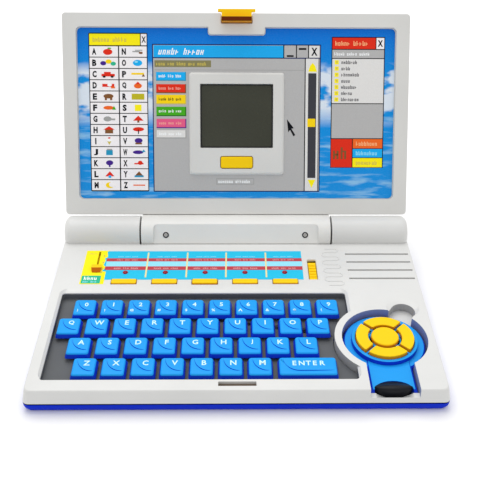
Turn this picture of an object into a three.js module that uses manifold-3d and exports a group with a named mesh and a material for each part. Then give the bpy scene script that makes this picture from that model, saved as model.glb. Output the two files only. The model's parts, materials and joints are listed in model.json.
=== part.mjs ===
// A toy laptop computer: a wedge-shaped base with a keyboard, a lift-out mouse and a speaker, and a
// hinged lid with a small liquid-crystal screen. Millimetres, +X to the right, +Y to the back, +Z up.
// The origin is on the table, at the middle of the flat underside.
//
// Three frames are used. The row frame holds the bottom case. The deck frame lies in the sloping top
// surface of the base: its origin is under the lid's hinge axis, +Y runs back along the deck and +Z is
// the deck's normal. The lid frame sits on the hinge axis: +Y runs up the lid and +Z points at the user.

import * as THREE from 'three';
import { mergeVertices } from 'three/addons/utils/BufferGeometryUtils.js';
import Module from 'manifold-3d';

const wasm = await Module();
wasm.setup();

// ---------------------------------------------------------------- driving dimensions

const BASE_WIDTH = 240; // across the deck
const BASE_DEPTH = 151.7; // from the hinge axis to the front edge of the deck
const WEDGE = THREE.MathUtils.degToRad(2.5); // slope of the deck
const HINGE_Y = 69.5; // hinge axis behind the origin
const DECK_Z = 21.3; // height of the deck under the hinge axis
const PARTING_Z = 6.2; // height of the seam between the two cases
const CASE_SEAM = 0.7; // gap between the two cases
const FLARE = 1.6; // how far the sides lean out from the deck to the seam
const SEAM = 0.3; // gap between other fixed pieces
const WALL = 2;
const SKIN = 2.2; // thickness of the deck
const EDGE = 0.5; // chamfer round the deck
const CASE_CORNER = 4;
const CORNER_STEPS = 6; // on the large outlines
const CHINE = { z: 2.4, inset: 0.3 }; // where the underside starts to turn in
const PAST = 1; // how far a cutting solid goes past the face it opens

const HINGE_RAISE = 1.2; // hinge axis above the deck
const BARREL = 11.9; // radius of the hinge humps and of the lid's barrel
const BARREL_GAP = 0.8;
const BARREL_LOW_X = -66.4;
const BARREL_HIGH_X = 65.4;
const BARREL_END_GAP = 1.2;
const BARREL_FLAT = 9.8; // the flat on the barrel's front, from the axis
const PIN = 2.5;
const PIN_LENGTH = 5;

const LID_OPEN = THREE.MathUtils.degToRad(120); // angle between deck and lid
const LID_LOW = 12.9; // lower edge of the lid, from the axis
const LID_HIGH = 151.6; // upper edge of the lid, from the axis
const LID_FACE = 0.7; // the frame's front, from the axis
const LID_DEPTH = 11;
const LID_SPLIT = -4.4; // seam between the lid's two covers
const LID_CORNER = 2.5;
const LABEL = { x: 110.6, low: 23.7, high: 142.2, corner: 3, depth: 2.5 };
const TAB = { x: 19.5, low: 137.3 };
const BEZEL = { x: 33.2, low: 40.8, high: 111.7, rise: 1.5, slope: 1.2, corner: 2 };
const SCREEN = { x: 25.4, low: 59.6, high: 103.7, border: 3, thick: 2.6, glass: -2.1 };
const PICTURE_KEY = { x: 11.2, low: 45.4, high: 53.5, gap: 0.35, top: -0.1, flange: 1.5 };
const LID_BAY = { low: 144.6, floor: 3.4 }; // recess for the latch in the lid's upper edge

const KEY_PITCH = { x: 17, y: 17.6 };
const KEY_TOP = { x: 12.9, y: 13.9 };
const KEY_SKIRT = { x: 15, y: 15.6 };
const KEY_HEIGHT = 3.6;
const KEY_STEM = 5;
const KEY_TRAVEL = 2;
const KEY_WALL = 1;
const KEY_ROOF = 1.6;
const KEY_ROWS = [
  { names: '0123456789', x: -95.9, y: -79.2 },
  { names: 'qwertyuiop', x: -103.1, y: -96.8 },
  { names: 'asdfghjkl', x: -94.5, y: -114.4 },
  { names: 'zxcvbnm', x: -88.7, y: -132 },
];
const ENTER_KEY = { x: 41.1, width: 33 };
const KEYBOARD = { left: -112.5, right: 70, front: -143, back: -64.2, corner: 2 };
const KEYBOARD_RIM = { side: 1.5, back: 3.3, depth: 1.4, corner: 5.5 }; // slope round the opening
const TRAY_FLOOR = -(KEY_HEIGHT + KEY_TRAVEL + 0.4); // a pressed key stays clear of the floor
const TRAY_BOTTOM = TRAY_FLOOR - 1.5;
const TRAY_WALL = 1.3;

const CRADLE = { x: 89.4, y: -108.3, radius: 26, wall: 4.4, floor: -10.9, bottom: -12.4 };
const TAIL = { halfWidth: 14.2, front: -149.2, floor: -9.9, bottom: -10.6, lip: -5.1 };
const TAIL_ROOT = 12; // the tails start this far in front of the disc's centre
const SCOOP = { x: 104.8, y: -82.8, radius: 7.7, depth: 7.4, reach: 9, wall: 1.8 };
const SCOOP_RIM = { grow: 3.2, depth: 1.6, shift: 3.6, over: 0.2 }; // the sloping edge round the scoop
const MOUSE = { radius: 24.9, top: -4.4, bottom: -10.6, disc: 20, discTop: -1, tail: 13.5, edge: 1 };
const MOUSE_TAIL = { top: -3.9, bottom: -9.6, front: -148.8, edge: 1.4, hollowFront: -139.5 };
const PAD = { inner: 10.2, outer: 17.65, centre: 8.4, top: 1.3, foot: -4.6, gap: 0.4, split: 1.9 };
const PAD_WELL = -5.8;
const PAD_EDGE = { side: 0.8, rise: 0.5 }; // rounding of the centre button
const GRIP = { x: 11.3, y: -148, depth: 7.2, floor: 1.4 }; // oval hollow in the end of the mouse's tail
const GRIP_NOTCH = { x: 11.6, z: -3, depth: 5.5 }; // oval notch in the rim in front of it

const BUTTON_GAP = 0.3; // round a button in its opening
const FLANGE = { depth: 0.4, thick: 1.6 }; // a button's flange under the deck, from the deck's lower face
const ACTIVITY = { count: 5, pitch: 26.5, first: -74.1, y: -54.1, width: 16.5, depth: 4.8 };
const ACTIVITY_TOP = { proud: 1, edge: 0.5 };
const LAMP_HOLE = { y: -44.4, radius: 1.85 };
const POWER = { x: 50.7, front: -51.5, halfWidth: 2.9, knob: 18.2, travel: 3, play: 0.3, top: -0.5 };
const POWER_RIB = { pitch: 3, count: 5, halfWidth: 0.5, inset: 0.4 };
const MODE = { x: -93.6, front: -44.7, knob: 7, halfWidth: 3.4, low: 0.35, rise: 2.3, neck: 0.5, travel: 17.5 };
const MODE_RAMP = { lean: 0.6, front: 3.1 };
const MODE_NECK = { front: -42.3, back: -39.1, play: 0.2 };
const MODE_PLATE = { halfWidth: 4, cover: 0.8, root: 0.2 };
const MODE_ROOM = { halfWidth: 8, front: -22, back: -6 }; // lets the slider's plate run under the humps
const LOUVRE = { low: 74.4, high: 118.8, first: -24, pitch: 8.92, count: 4, halfWidth: 0.75 };
const LATCH = { hook: 10.4, wing: 12.9, slotFront: -147.9, slotBack: -144.6, slot: 10.8, bay: 0.4 };
const LATCH_BODY = { low: 145.3, high: 153, back: -2.6, front: 0.9 };
const LATCH_WING = { low: 152.4, high: 154.4, back: -1.6 };
const LATCH_HOOK = { high: 147.3, front: 6.5, tipLow: 146.5, tipHigh: 148.5, tipBack: 4.6 };

const FLOOR = 2.2; // thickness of the bottom case
const FOOT = { x: 102, front: -66, back: 62, radius: 6.5, depth: 0.8 };
const BATTERY_DOOR = { left: -78, right: -14, front: -34, back: 30, gap: 0.35, corner: 3 };
const CASE_SCREW = { radius: 3, depth: 1.3, x: 88, front: -70, back: 55 };
const DOOR_SCREW = { radius: 2.6, depth: 1, inset: 6 };
const HOLLOW_LOW = -30; // below everything that is cut from the cases
const HOLLOW_BACK = -15.5; // the full-height hollow ends in front of the humps
const REAR_HOLLOW = { front: -17, top: -13.3 }; // the lower hollow behind it
const BOARD = { left: -104, right: 55, front: -138, back: -24, top: -10.6, thick: 1.6, inset: 5, hole: 1.6 };
const CHIPS = [
  { left: -30, right: -12, front: -60, back: -42, height: 1.6 },
  { left: 20, right: 30, front: -50, back: -36, height: 1.6 },
  { left: -80, right: -58, front: -40, back: -34, height: 1.4 },
];

const HUMP_ROUND = 4.5; // radius at a hump's outer end
const HUMP_WALL = 2.4;
const HUMP_THROAT = { halfDepth: 8, low: -20 }; // opens each hump to the hollow base
const PIN_PLAY = 0.35;
const BARREL_WALL = 3.4;
const BARREL_END = 3; // thickness of the barrel's ends
const BARREL_NECK = 3; // the lid's neck starts this far from the axis
const FLAT_INSET = 8.5; // from the barrel's ends to its flat

// ---------------------------------------------------------------- materials

const plastic = (colour, roughness = 0.45) =>
  new THREE.MeshStandardMaterial({ color: colour, roughness, metalness: 0 });
const WHITE = 0xe9e9e6;
const LID_WHITE = 0xe6e5e1;
const NAVY = 0x0f2db4;
const SKY = 0x2da5fa;
const YELLOW = 0xffd70f;
const TRAY_GREY = 0x6e6e6e;
const LCD_OLIVE = 0x3a3c30;
const BOARD_GREEN = 0x1f6a3a;

// ---------------------------------------------------------------- outlines and solids

// A closed outline of a rectangle with round corners, anticlockwise.
function roundedRectangle(left, right, front, back, radius, steps = 3) {
  const corners = [
    [right - radius, back - radius, 0],
    [left + radius, back - radius, 1],
    [left + radius, front + radius, 2],
    [right - radius, front + radius, 3],
  ];
  return corners.flatMap(([x, y, quarter]) =>
    Array.from({ length: steps + 1 }, (_, i) => {
      const angle = ((quarter + i / steps) * Math.PI) / 2;
      return new THREE.Vector2(x + radius * Math.cos(angle), y + radius * Math.sin(angle));
    })
  );
}

function circle(x, y, radius, steps = 28) {
  return Array.from({ length: steps }, (_, i) => {
    const angle = (2 * Math.PI * i) / steps;
    return new THREE.Vector2(x + radius * Math.cos(angle), y + radius * Math.sin(angle));
  });
}

function box(left, right, front, back) {
  return [
    new THREE.Vector2(right, front),
    new THREE.Vector2(right, back),
    new THREE.Vector2(left, back),
    new THREE.Vector2(left, front),
  ];
}

// A sector of a ring, for a direction pad's arc button, with straight ends parallel to its own edges.
function ringSector(x, y, inner, outer, middle, split, steps = 8) {
  const arc = (radius, way) => {
    const half = Math.PI / 4 - Math.asin(split / 2 / radius);
    return Array.from({ length: steps + 1 }, (_, i) => {
      const angle = middle + way * half * ((2 * i) / steps - 1);
      return new THREE.Vector2(x + radius * Math.cos(angle), y + radius * Math.sin(angle));
    });
  };
  return [...arc(outer, 1), ...arc(inner, -1)];
}

const ring = (outline, z) => outline.map((p) => new THREE.Vector3(p.x, p.y, z));

// A closed solid through rings with the same number of points, from the lowest ring up.
function loft(rings) {
  const count = rings[0].length;
  const positions = rings.flat().flatMap((p) => [p.x, p.y, p.z]);
  const flat = (points) => points.map((p) => new THREE.Vector2(p.x, p.y));
  const lowCap = THREE.ShapeUtils.triangulateShape(flat(rings[0]), []);
  const highCap = THREE.ShapeUtils.triangulateShape(flat(rings.at(-1)), []);
  const top = (rings.length - 1) * count;
  const index = lowCap.flatMap(([a, b, c]) => [c, b, a]);
  index.push(...highCap.flatMap(([a, b, c]) => [top + a, top + b, top + c]));
  for (let level = 0; level < rings.length - 1; level += 1) {
    for (let i = 0; i < count; i += 1) {
      const a = level * count + i;
      const b = level * count + ((i + 1) % count);
      index.push(a, b, b + count, a, b + count, a + count);
    }
  }
  const geometry = new THREE.BufferGeometry();
  geometry.setAttribute('position', new THREE.Float32BufferAttribute(positions, 3));
  geometry.setIndex(index);
  return solid(geometry);
}

const prism = (outline, low, high) => loft([ring(outline, low), ring(outline, high)]);

// A block between two corners.
const block = (left, right, front, back, low, high) => prism(box(left, right, front, back), low, high);

function solid(geometry) {
  const bare = geometry.clone();
  bare.deleteAttribute('normal');
  bare.deleteAttribute('uv');
  const merged = mergeVertices(bare, 1e-4);
  return new wasm.Manifold(
    new wasm.Mesh({
      numProp: 3,
      vertProperties: new Float32Array(merged.attributes.position.array),
      triVerts: new Uint32Array(merged.index.array),
    })
  );
}

// A turned solid along X, from (distance along X, radius) points.
function turned(profile, y, z, steps = 40) {
  const points = profile.map(([x, radius]) => new THREE.Vector2(radius, x));
  const geometry = new THREE.LatheGeometry(points, steps);
  geometry.rotateZ(-Math.PI / 2);
  geometry.translate(0, y, z);
  return solid(geometry);
}

const rod = (low, high, radius, y, z, steps = 40) =>
  turned([[low, 0], [low, radius], [high, radius], [high, 0]], y, z, steps);

function geometryOf(manifold) {
  const mesh = manifold.getMesh();
  const geometry = new THREE.BufferGeometry();
  geometry.setAttribute('position', new THREE.Float32BufferAttribute(mesh.vertProperties, 3));
  geometry.setIndex(Array.from(mesh.triVerts));
  return geometry;
}

const add = (first, ...others) => others.reduce((sum, other) => sum.add(other), first);
const cut = (first, ...others) => others.reduce((rest, other) => rest.subtract(other), first);

function piece(group, name, manifold, material) {
  const mesh = new THREE.Mesh(geometryOf(manifold), material);
  mesh.name = name;
  group.add(mesh);
  return mesh;
}

// ---------------------------------------------------------------- frames

const laptop = new THREE.Group();
const deck = new THREE.Group();
deck.position.set(0, HINGE_Y, DECK_Z);
deck.rotation.x = WEDGE;
laptop.add(deck);
const lid = new THREE.Group();
lid.position.set(0, 0, HINGE_RAISE);
lid.rotation.x = Math.PI - LID_OPEN;
deck.add(lid);
laptop.updateMatrixWorld(true);

const toDeck = (point) => deck.worldToLocal(point.clone());

// ---------------------------------------------------------------- the two cases

const HALF = BASE_WIDTH / 2;
const deckOutline = (inset) =>
  roundedRectangle(
    -HALF + inset, HALF - inset, -BASE_DEPTH + inset, BARREL - inset, CASE_CORNER, CORNER_STEPS
  );

// The outline at the seam, in the row frame, leans out from the deck's outline by the flare.
const seamOutline = (inset, z) => {
  const front = new THREE.Vector3(0, -BASE_DEPTH, 0).applyMatrix4(deck.matrixWorld).y;
  const back = new THREE.Vector3(0, BARREL, 0).applyMatrix4(deck.matrixWorld).y;
  const out = FLARE - inset;
  return ring(
    roundedRectangle(-HALF - out, HALF + out, front - out, back + out, CASE_CORNER, CORNER_STEPS), z
  );
};

function bottomCase() {
  const rim = PARTING_Z - CASE_SEAM;
  const shell = cut(
    loft([seamOutline(FLARE, 0), seamOutline(CHINE.inset, CHINE.z), seamOutline(0, rim)]),
    loft([seamOutline(FLARE + WALL, FLOOR), seamOutline(WALL, rim + PAST)])
  );
  const door = BATTERY_DOOR;
  const cuts = [
    prism(roundedRectangle(door.left, door.right, door.front, door.back, door.corner), -PAST, FLOOR + PAST),
  ];
  for (const x of [-1, 1]) {
    for (const y of [FOOT.front, FOOT.back]) {
      cuts.push(prism(circle(x * FOOT.x, y, FOOT.radius), -PAST, FOOT.depth));
    }
    for (const y of [CASE_SCREW.front, CASE_SCREW.back]) {
      cuts.push(prism(circle(x * CASE_SCREW.x, y, CASE_SCREW.radius, 20), -PAST, CASE_SCREW.depth));
    }
  }
  return cut(shell, ...cuts);
}

function batteryDoor() {
  const { left, right, front, back, gap, corner } = BATTERY_DOOR;
  const outline = roundedRectangle(left + gap, right - gap, front + gap, back - gap, corner - gap);
  const middle = (left + right) / 2;
  const screwWell = prism(
    circle(middle, front + DOOR_SCREW.inset, DOOR_SCREW.radius, 20), -PAST, DOOR_SCREW.depth
  );
  return cut(prism(outline, 0, FLOOR), screwWell);
}

// A hinge hump: a hollow half-round end of the top case, with its outer edge rounded.
function hump(inner, outer) {
  const way = Math.sign(outer - inner);
  const arc = Array.from({ length: 5 }, (_, i) => {
    const angle = ((i / 4) * Math.PI) / 2;
    return [
      outer - way * HUMP_ROUND * (1 - Math.sin(angle)),
      BARREL - HUMP_ROUND * (1 - Math.cos(angle)),
    ];
  });
  const profile = [[inner, 0], [inner, BARREL], ...arc, [outer, 0]];
  return turned(way > 0 ? profile : profile.reverse(), 0, HINGE_RAISE);
}

const humpEnds = [
  { inner: BARREL_LOW_X - BARREL_END_GAP, outer: -HALF },
  { inner: BARREL_HIGH_X + BARREL_END_GAP, outer: HALF },
];

const cradleDisc = (radius, low, high) => prism(circle(CRADLE.x, CRADLE.y, radius, 56), low, high);
const cradleTail = (half, front, low, high) =>
  block(CRADLE.x - half, CRADLE.x + half, front, CRADLE.y - TAIL_ROOT - 3, low, high);

// The finger scoop behind the mouse: a round well that opens into the cradle.
function scoop(grow, depth, high) {
  const { x, y, radius } = SCOOP;
  const along = new THREE.Vector2(CRADLE.x - x, CRADLE.y - y).normalize();
  const across = new THREE.Vector2(-along.y, along.x).multiplyScalar(radius + grow);
  const far = new THREE.Vector2(x, y).addScaledVector(along, SCOOP.reach);
  const near = new THREE.Vector2(x, y);
  const passage = [
    near.clone().sub(across),
    far.clone().sub(across),
    far.clone().add(across),
    near.clone().add(across),
  ];
  return add(prism(circle(x, y, radius + grow), -depth, high), prism(passage, -depth, high));
}

function topCase() {
  const seam = seamOutline(0, PARTING_Z).map(toDeck);
  const outer = loft([seam, ring(deckOutline(0), -EDGE), ring(deckOutline(EDGE), 0)]);
  const hollow = (grow) =>
    roundedRectangle(
      -HALF - grow + WALL, HALF + grow - WALL, -BASE_DEPTH - grow + WALL, HOLLOW_BACK, CASE_CORNER
    );
  const frontHollow = loft([ring(hollow(FLARE), HOLLOW_LOW), ring(hollow(0), -SKIN)]);
  const rearHollow = block(
    -HALF + WALL, HALF - WALL, REAR_HOLLOW.front, BARREL - WALL, HOLLOW_LOW, REAR_HOLLOW.top
  );
  const cup = [
    cradleDisc(CRADLE.radius + CRADLE.wall, CRADLE.bottom, -PAST).intersect(
      block(0, HALF - WALL, -BASE_DEPTH, 0, CRADLE.bottom - PAST, 0)
    ),
    cradleTail(TAIL.halfWidth + WALL, WALL / 2 - BASE_DEPTH, TAIL.bottom, -PAST),
    scoop(SCOOP.wall, SCOOP.depth + SCOOP.wall, -PAST),
  ];
  const { left, right, front, back, corner } = KEYBOARD;
  const rim = KEYBOARD_RIM;
  const opening = roundedRectangle(left, right, front, back, corner, CORNER_STEPS);
  const slope = roundedRectangle(
    left - rim.side, right + rim.side, front, back + rim.back, rim.corner, CORNER_STEPS
  );
  const keyboard = cut(
    add(prism(opening, HOLLOW_LOW, PAST), loft([ring(opening, -rim.depth), ring(slope, 0), ring(slope, PAST)])),
    cradleDisc(CRADLE.radius + CRADLE.wall, HOLLOW_LOW - PAST, 2 * PAST)
  );
  const humps = humpEnds.map(({ inner, outer: end }) => hump(inner, end));
  const shell = add(cut(outer, frontHollow, rearHollow, keyboard), ...cup, ...humps);

  const oval = circle(0, 0, 1, 40).map(
    (p) => new THREE.Vector2(CRADLE.x + p.x * GRIP_NOTCH.x, GRIP_NOTCH.z + p.y * GRIP_NOTCH.depth)
  );
  const gripNotch = prism(oval, -TAIL.front, BASE_DEPTH + PAST).rotate([90, 0, 0]);
  const cuts = [
    rod(humpEnds[0].inner, humpEnds[1].inner, BARREL + BARREL_GAP, 0, HINGE_RAISE),
    cradleDisc(CRADLE.radius, CRADLE.floor, PAST),
    cradleTail(TAIL.halfWidth, TAIL.front, TAIL.floor, PAST),
    block(
      CRADLE.x - TAIL.halfWidth,
      CRADLE.x + TAIL.halfWidth,
      -BASE_DEPTH - 5 * PAST,
      TAIL.front + PAST,
      TAIL.lip,
      PAST
    ),
    gripNotch,
    scoop(0, SCOOP.depth, PAST),
    loft([
      ring(circle(SCOOP.x, SCOOP.y, SCOOP.radius), -SCOOP_RIM.depth),
      ring(circle(SCOOP.x, SCOOP.y + SCOOP_RIM.shift, SCOOP.radius + SCOOP_RIM.grow), SCOOP_RIM.over),
    ]),
    block(-LATCH.slot, LATCH.slot, LATCH.slotFront, LATCH.slotBack, -SKIN - PAST, PAST),
    block(
      POWER.x - POWER.halfWidth,
      POWER.x + POWER.halfWidth,
      POWER.front,
      POWER.front + POWER.knob + POWER.travel + POWER.play,
      -SKIN - PAST,
      PAST
    ),
    block(
      MODE.x - MODE.neck - MODE_NECK.play,
      MODE.x + MODE.neck + MODE_NECK.play,
      MODE_NECK.front - MODE_NECK.play,
      MODE_NECK.back + MODE.travel + MODE_NECK.play,
      -SKIN - PAST,
      PAST
    ),
    block(
      MODE.x - MODE_ROOM.halfWidth,
      MODE.x + MODE_ROOM.halfWidth,
      MODE_ROOM.front,
      MODE_ROOM.back,
      REAR_HOLLOW.top - PAST,
      -SKIN
    ),
  ];
  for (const { inner, outer: end } of humpEnds) {
    const way = Math.sign(end - inner);
    const [low, high] = [inner + way * HUMP_WALL, end - way * HUMP_WALL].sort((a, b) => a - b);
    cuts.push(rod(low, high, BARREL - HUMP_WALL, 0, HINGE_RAISE));
    cuts.push(block(low, high, -HUMP_THROAT.halfDepth, HUMP_THROAT.halfDepth, HUMP_THROAT.low, 0));
    cuts.push(rod(inner - PIN_LENGTH, inner + PIN_LENGTH, PIN + PIN_PLAY, 0, HINGE_RAISE, 20));
  }
  for (let i = 0; i < ACTIVITY.count; i += 1) {
    const x = ACTIVITY.first + i * ACTIVITY.pitch;
    const w = ACTIVITY.width / 2 + BUTTON_GAP;
    const d = ACTIVITY.depth / 2 + BUTTON_GAP;
    cuts.push(block(x - w, x + w, ACTIVITY.y - d, ACTIVITY.y + d, -SKIN - PAST, PAST));
    cuts.push(prism(circle(x, LAMP_HOLE.y, LAMP_HOLE.radius, 16), -SKIN - PAST, PAST));
  }
  for (let i = 0; i < LOUVRE.count; i += 1) {
    const y = LOUVRE.first - i * LOUVRE.pitch;
    const [low, high] = [y - LOUVRE.halfWidth, y + LOUVRE.halfWidth];
    cuts.push(block(LOUVRE.low, Math.min(LOUVRE.high, HALF - WALL), low, high, -SKIN - PAST, PAST));
  }
  return cut(shell, ...cuts);
}

piece(laptop, 'bottom_case', bottomCase(), plastic(NAVY, 0.35));
piece(laptop, 'battery_door', batteryDoor(), plastic(NAVY, 0.4));
piece(deck, 'top_case', topCase(), plastic(WHITE, 0.4));

// ---------------------------------------------------------------- keyboard

const keys = [];
for (const row of KEY_ROWS) {
  [...row.names].forEach((name, column) => {
    keys.push({ name: `key_${name}`, x: row.x + column * KEY_PITCH.x, y: row.y, extra: 0 });
  });
}
keys.push({ name: 'key_enter', x: ENTER_KEY.x, y: KEY_ROWS[3].y, extra: ENTER_KEY.width - KEY_TOP.x });

const around = (halfX, halfY, corner) => roundedRectangle(-halfX, halfX, -halfY, halfY, corner, 2);

// A key: a hollow cap with leaning sides and a square stem that goes through the tray.
function keycap(extra) {
  const wide = (x) => (x + extra) / 2;
  const cap = loft([
    ring(around(wide(KEY_SKIRT.x), KEY_SKIRT.y / 2, 1.4), -KEY_HEIGHT),
    ring(around(wide(KEY_TOP.x), KEY_TOP.y / 2, 1.2), -0.6),
    ring(around(wide(KEY_TOP.x) - 0.5, KEY_TOP.y / 2 - 0.5, 1), 0),
  ]);
  const inX = wide(KEY_TOP.x) - KEY_WALL;
  const inY = KEY_TOP.y / 2 - KEY_WALL;
  const hollow = block(-inX, inX, -inY, inY, -KEY_HEIGHT - 1, -KEY_ROOF);
  const half = KEY_STEM / 2;
  return add(cut(cap, hollow), block(-half, half, -half, half, TRAY_BOTTOM, 0.4 - KEY_ROOF));
}

for (const key of keys) {
  const mesh = piece(deck, key.name, keycap(key.extra), plastic(SKY, 0.35));
  mesh.position.set(key.x, key.y, 0);
}

function keyboardTray() {
  const { left, right, front, back, corner } = KEYBOARD;
  const outline = (grow) =>
    roundedRectangle(left - grow, right + grow, front - grow, back + grow, corner + grow);
  const half = KEY_STEM / 2 + 0.5;
  const holes = keys.map(({ x, y }) => block(x - half, x + half, y - half, y + half, TRAY_BOTTOM - 1, 0));
  return cut(
    prism(outline(TRAY_WALL), TRAY_BOTTOM, -SKIN - SEAM),
    prism(outline(0), TRAY_FLOOR, 0),
    cradleDisc(CRADLE.radius + CRADLE.wall + SEAM, TRAY_BOTTOM - 1, 0),
    block(CRADLE.x - TAIL.halfWidth - WALL - SEAM, right + 10, front - 5, CRADLE.y, TRAY_BOTTOM - 1, 0),
    ...holes
  );
}

piece(deck, 'keyboard_tray', keyboardTray(), plastic(TRAY_GREY, 0.6));

function mainBoard() {
  const { left, right, front, back, top, thick, inset, hole } = BOARD;
  const chips = CHIPS.map((chip) =>
    block(chip.left, chip.right, chip.front, chip.back, top - 0.5, top + chip.height)
  );
  const holes = [left + inset, right - inset].flatMap((x) =>
    [front + inset, back - inset].map((y) => prism(circle(x, y, hole, 12), top - thick - 1, top + 1))
  );
  return cut(add(block(left, right, front, back, top - thick, top), ...chips), ...holes);
}

piece(deck, 'main_board', mainBoard(), plastic(BOARD_GREEN, 0.5));

// ---------------------------------------------------------------- activity buttons and sliders

const flange = (half, front, back) =>
  block(-half, half, front, back, -SKIN - FLANGE.depth - FLANGE.thick, -SKIN - FLANGE.depth);

for (let i = 0; i < ACTIVITY.count; i += 1) {
  const half = ACTIVITY.width / 2;
  const deep = ACTIVITY.depth / 2;
  const { proud, edge } = ACTIVITY_TOP;
  const button = add(
    loft([
      ring(around(half, deep, 2 * edge), -SKIN - 2 * FLANGE.depth),
      ring(around(half, deep, 2 * edge), proud - edge),
      ring(around(half - edge, deep - edge, edge), proud),
    ]),
    flange(half + 1, -deep - 1, deep + 1)
  );
  const mesh = piece(deck, `activity_button_${i + 1}`, button, plastic(YELLOW));
  mesh.position.set(ACTIVITY.first + i * ACTIVITY.pitch, ACTIVITY.y, 0);
}

function powerSwitch() {
  const half = POWER.halfWidth - 0.4;
  const front = POWER.front + POWER.play / 2;
  const back = front + POWER.knob;
  const knob = block(-half, half, front, back, -SKIN - 2 * FLANGE.depth, POWER.top);
  const rib = POWER_RIB;
  const ribs = Array.from({ length: rib.count }, (_, i) => {
    const y = front + (i + 1) * rib.pitch;
    return block(rib.inset - half, half - rib.inset, y - rib.halfWidth, y + rib.halfWidth, 2 * POWER.top, 0);
  });
  return add(knob, ...ribs, flange(half + 2, front - POWER.travel - 1, back + POWER.travel));
}

piece(deck, 'power_switch', powerSwitch(), plastic(YELLOW)).position.x = POWER.x;

// The mode slider: a ramped knob, a neck through the slot, and a plate that keeps the slot covered.
function modeSlider() {
  const { front, knob, halfWidth, low, rise, neck, travel } = MODE;
  const { front: neckFront, back: neckBack } = MODE_NECK;
  const { lean, front: ramp } = MODE_RAMP;
  const body = loft([
    ring(box(lean - halfWidth, halfWidth - lean, front, front + knob), low),
    ring(box(-halfWidth, halfWidth, front + ramp, front + knob - lean), rise),
  ]);
  const stalk = block(-neck, neck, neckFront, neckBack, -SKIN - FLANGE.thick, low + MODE_PLATE.root);
  const reach = travel + MODE_PLATE.cover;
  return add(body, stalk, flange(MODE_PLATE.halfWidth, neckFront - reach, neckBack + reach));
}

piece(deck, 'mode_slider', modeSlider(), plastic(YELLOW)).position.x = MODE.x;

// ---------------------------------------------------------------- mouse

const padMiddles = { up: Math.PI / 2, right: 0, down: -Math.PI / 2, left: Math.PI };
const arcPad = (middle, grow, low, high) =>
  prism(
    ringSector(
      CRADLE.x, CRADLE.y, PAD.inner - grow, PAD.outer + grow, middle, PAD.split - 2 * grow
    ),
    low,
    high
  );

function mouseShell() {
  const disc = (radius, z) => ring(circle(CRADLE.x, CRADLE.y, radius, 56), z);
  const half = MOUSE.tail;
  const tail = (inset, z) =>
    ring(
      box(CRADLE.x - half + inset, CRADLE.x + half - inset, MOUSE_TAIL.front + inset, CRADLE.y - TAIL_ROOT), z
    );
  const { radius, top, bottom, edge } = MOUSE;
  const slope = MOUSE_TAIL.edge;
  const body = add(
    loft([disc(radius, bottom), disc(radius, top - edge), disc(radius - edge, top)]),
    prism(circle(CRADLE.x, CRADLE.y, MOUSE.disc, 56), top - edge, MOUSE.discTop),
    loft([tail(0, MOUSE_TAIL.bottom), tail(0, MOUSE_TAIL.top - slope), tail(slope, MOUSE_TAIL.top)])
  );
  const roof = PAD_WELL - 1.6;
  const grip = circle(0, 0, 1, 28).map(
    (p) => new THREE.Vector2(CRADLE.x + p.x * GRIP.x, GRIP.y + p.y * GRIP.depth)
  );
  return cut(
    body,
    prism(circle(CRADLE.x, CRADLE.y, radius - WALL, 40), bottom - 1, roof),
    block(
      CRADLE.x - half + WALL, CRADLE.x + half - WALL, MOUSE_TAIL.hollowFront, CRADLE.y, bottom, roof
    ),
    prism(circle(CRADLE.x, CRADLE.y, PAD.centre + PAD.gap, 32), PAD_WELL, 0),
    ...Object.values(padMiddles).map((middle) => arcPad(middle, PAD.gap, PAD_WELL, 0)),
    prism(grip, MOUSE_TAIL.bottom + GRIP.floor, 0)
  );
}

piece(deck, 'mouse_shell', mouseShell(), plastic(SKY, 0.35));

for (const [name, middle] of Object.entries(padMiddles)) {
  piece(deck, `pad_${name}`, arcPad(middle, 0, PAD.foot, PAD.top), plastic(YELLOW));
}
const centreDisc = (radius, z) => ring(circle(CRADLE.x, CRADLE.y, radius, 32), z);
const centrePad = loft([
  centreDisc(PAD.centre, PAD.foot),
  centreDisc(PAD.centre, PAD.top + 0.2 - PAD_EDGE.rise),
  centreDisc(PAD.centre - PAD_EDGE.side, PAD.top + 0.2),
]);
piece(deck, 'pad_centre', centrePad, plastic(YELLOW));

// ---------------------------------------------------------------- lid

const lidOutline = (inset) =>
  roundedRectangle(
    -HALF + inset, HALF - inset, LID_LOW + inset, LID_HIGH - inset, LID_CORNER, CORNER_STEPS
  );

const latchBay = (floor) =>
  block(
    -LATCH.hook - LATCH.bay, LATCH.hook + LATCH.bay, LID_BAY.low, LID_HIGH + PAST, floor, LID_FACE + PAST
  );

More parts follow.
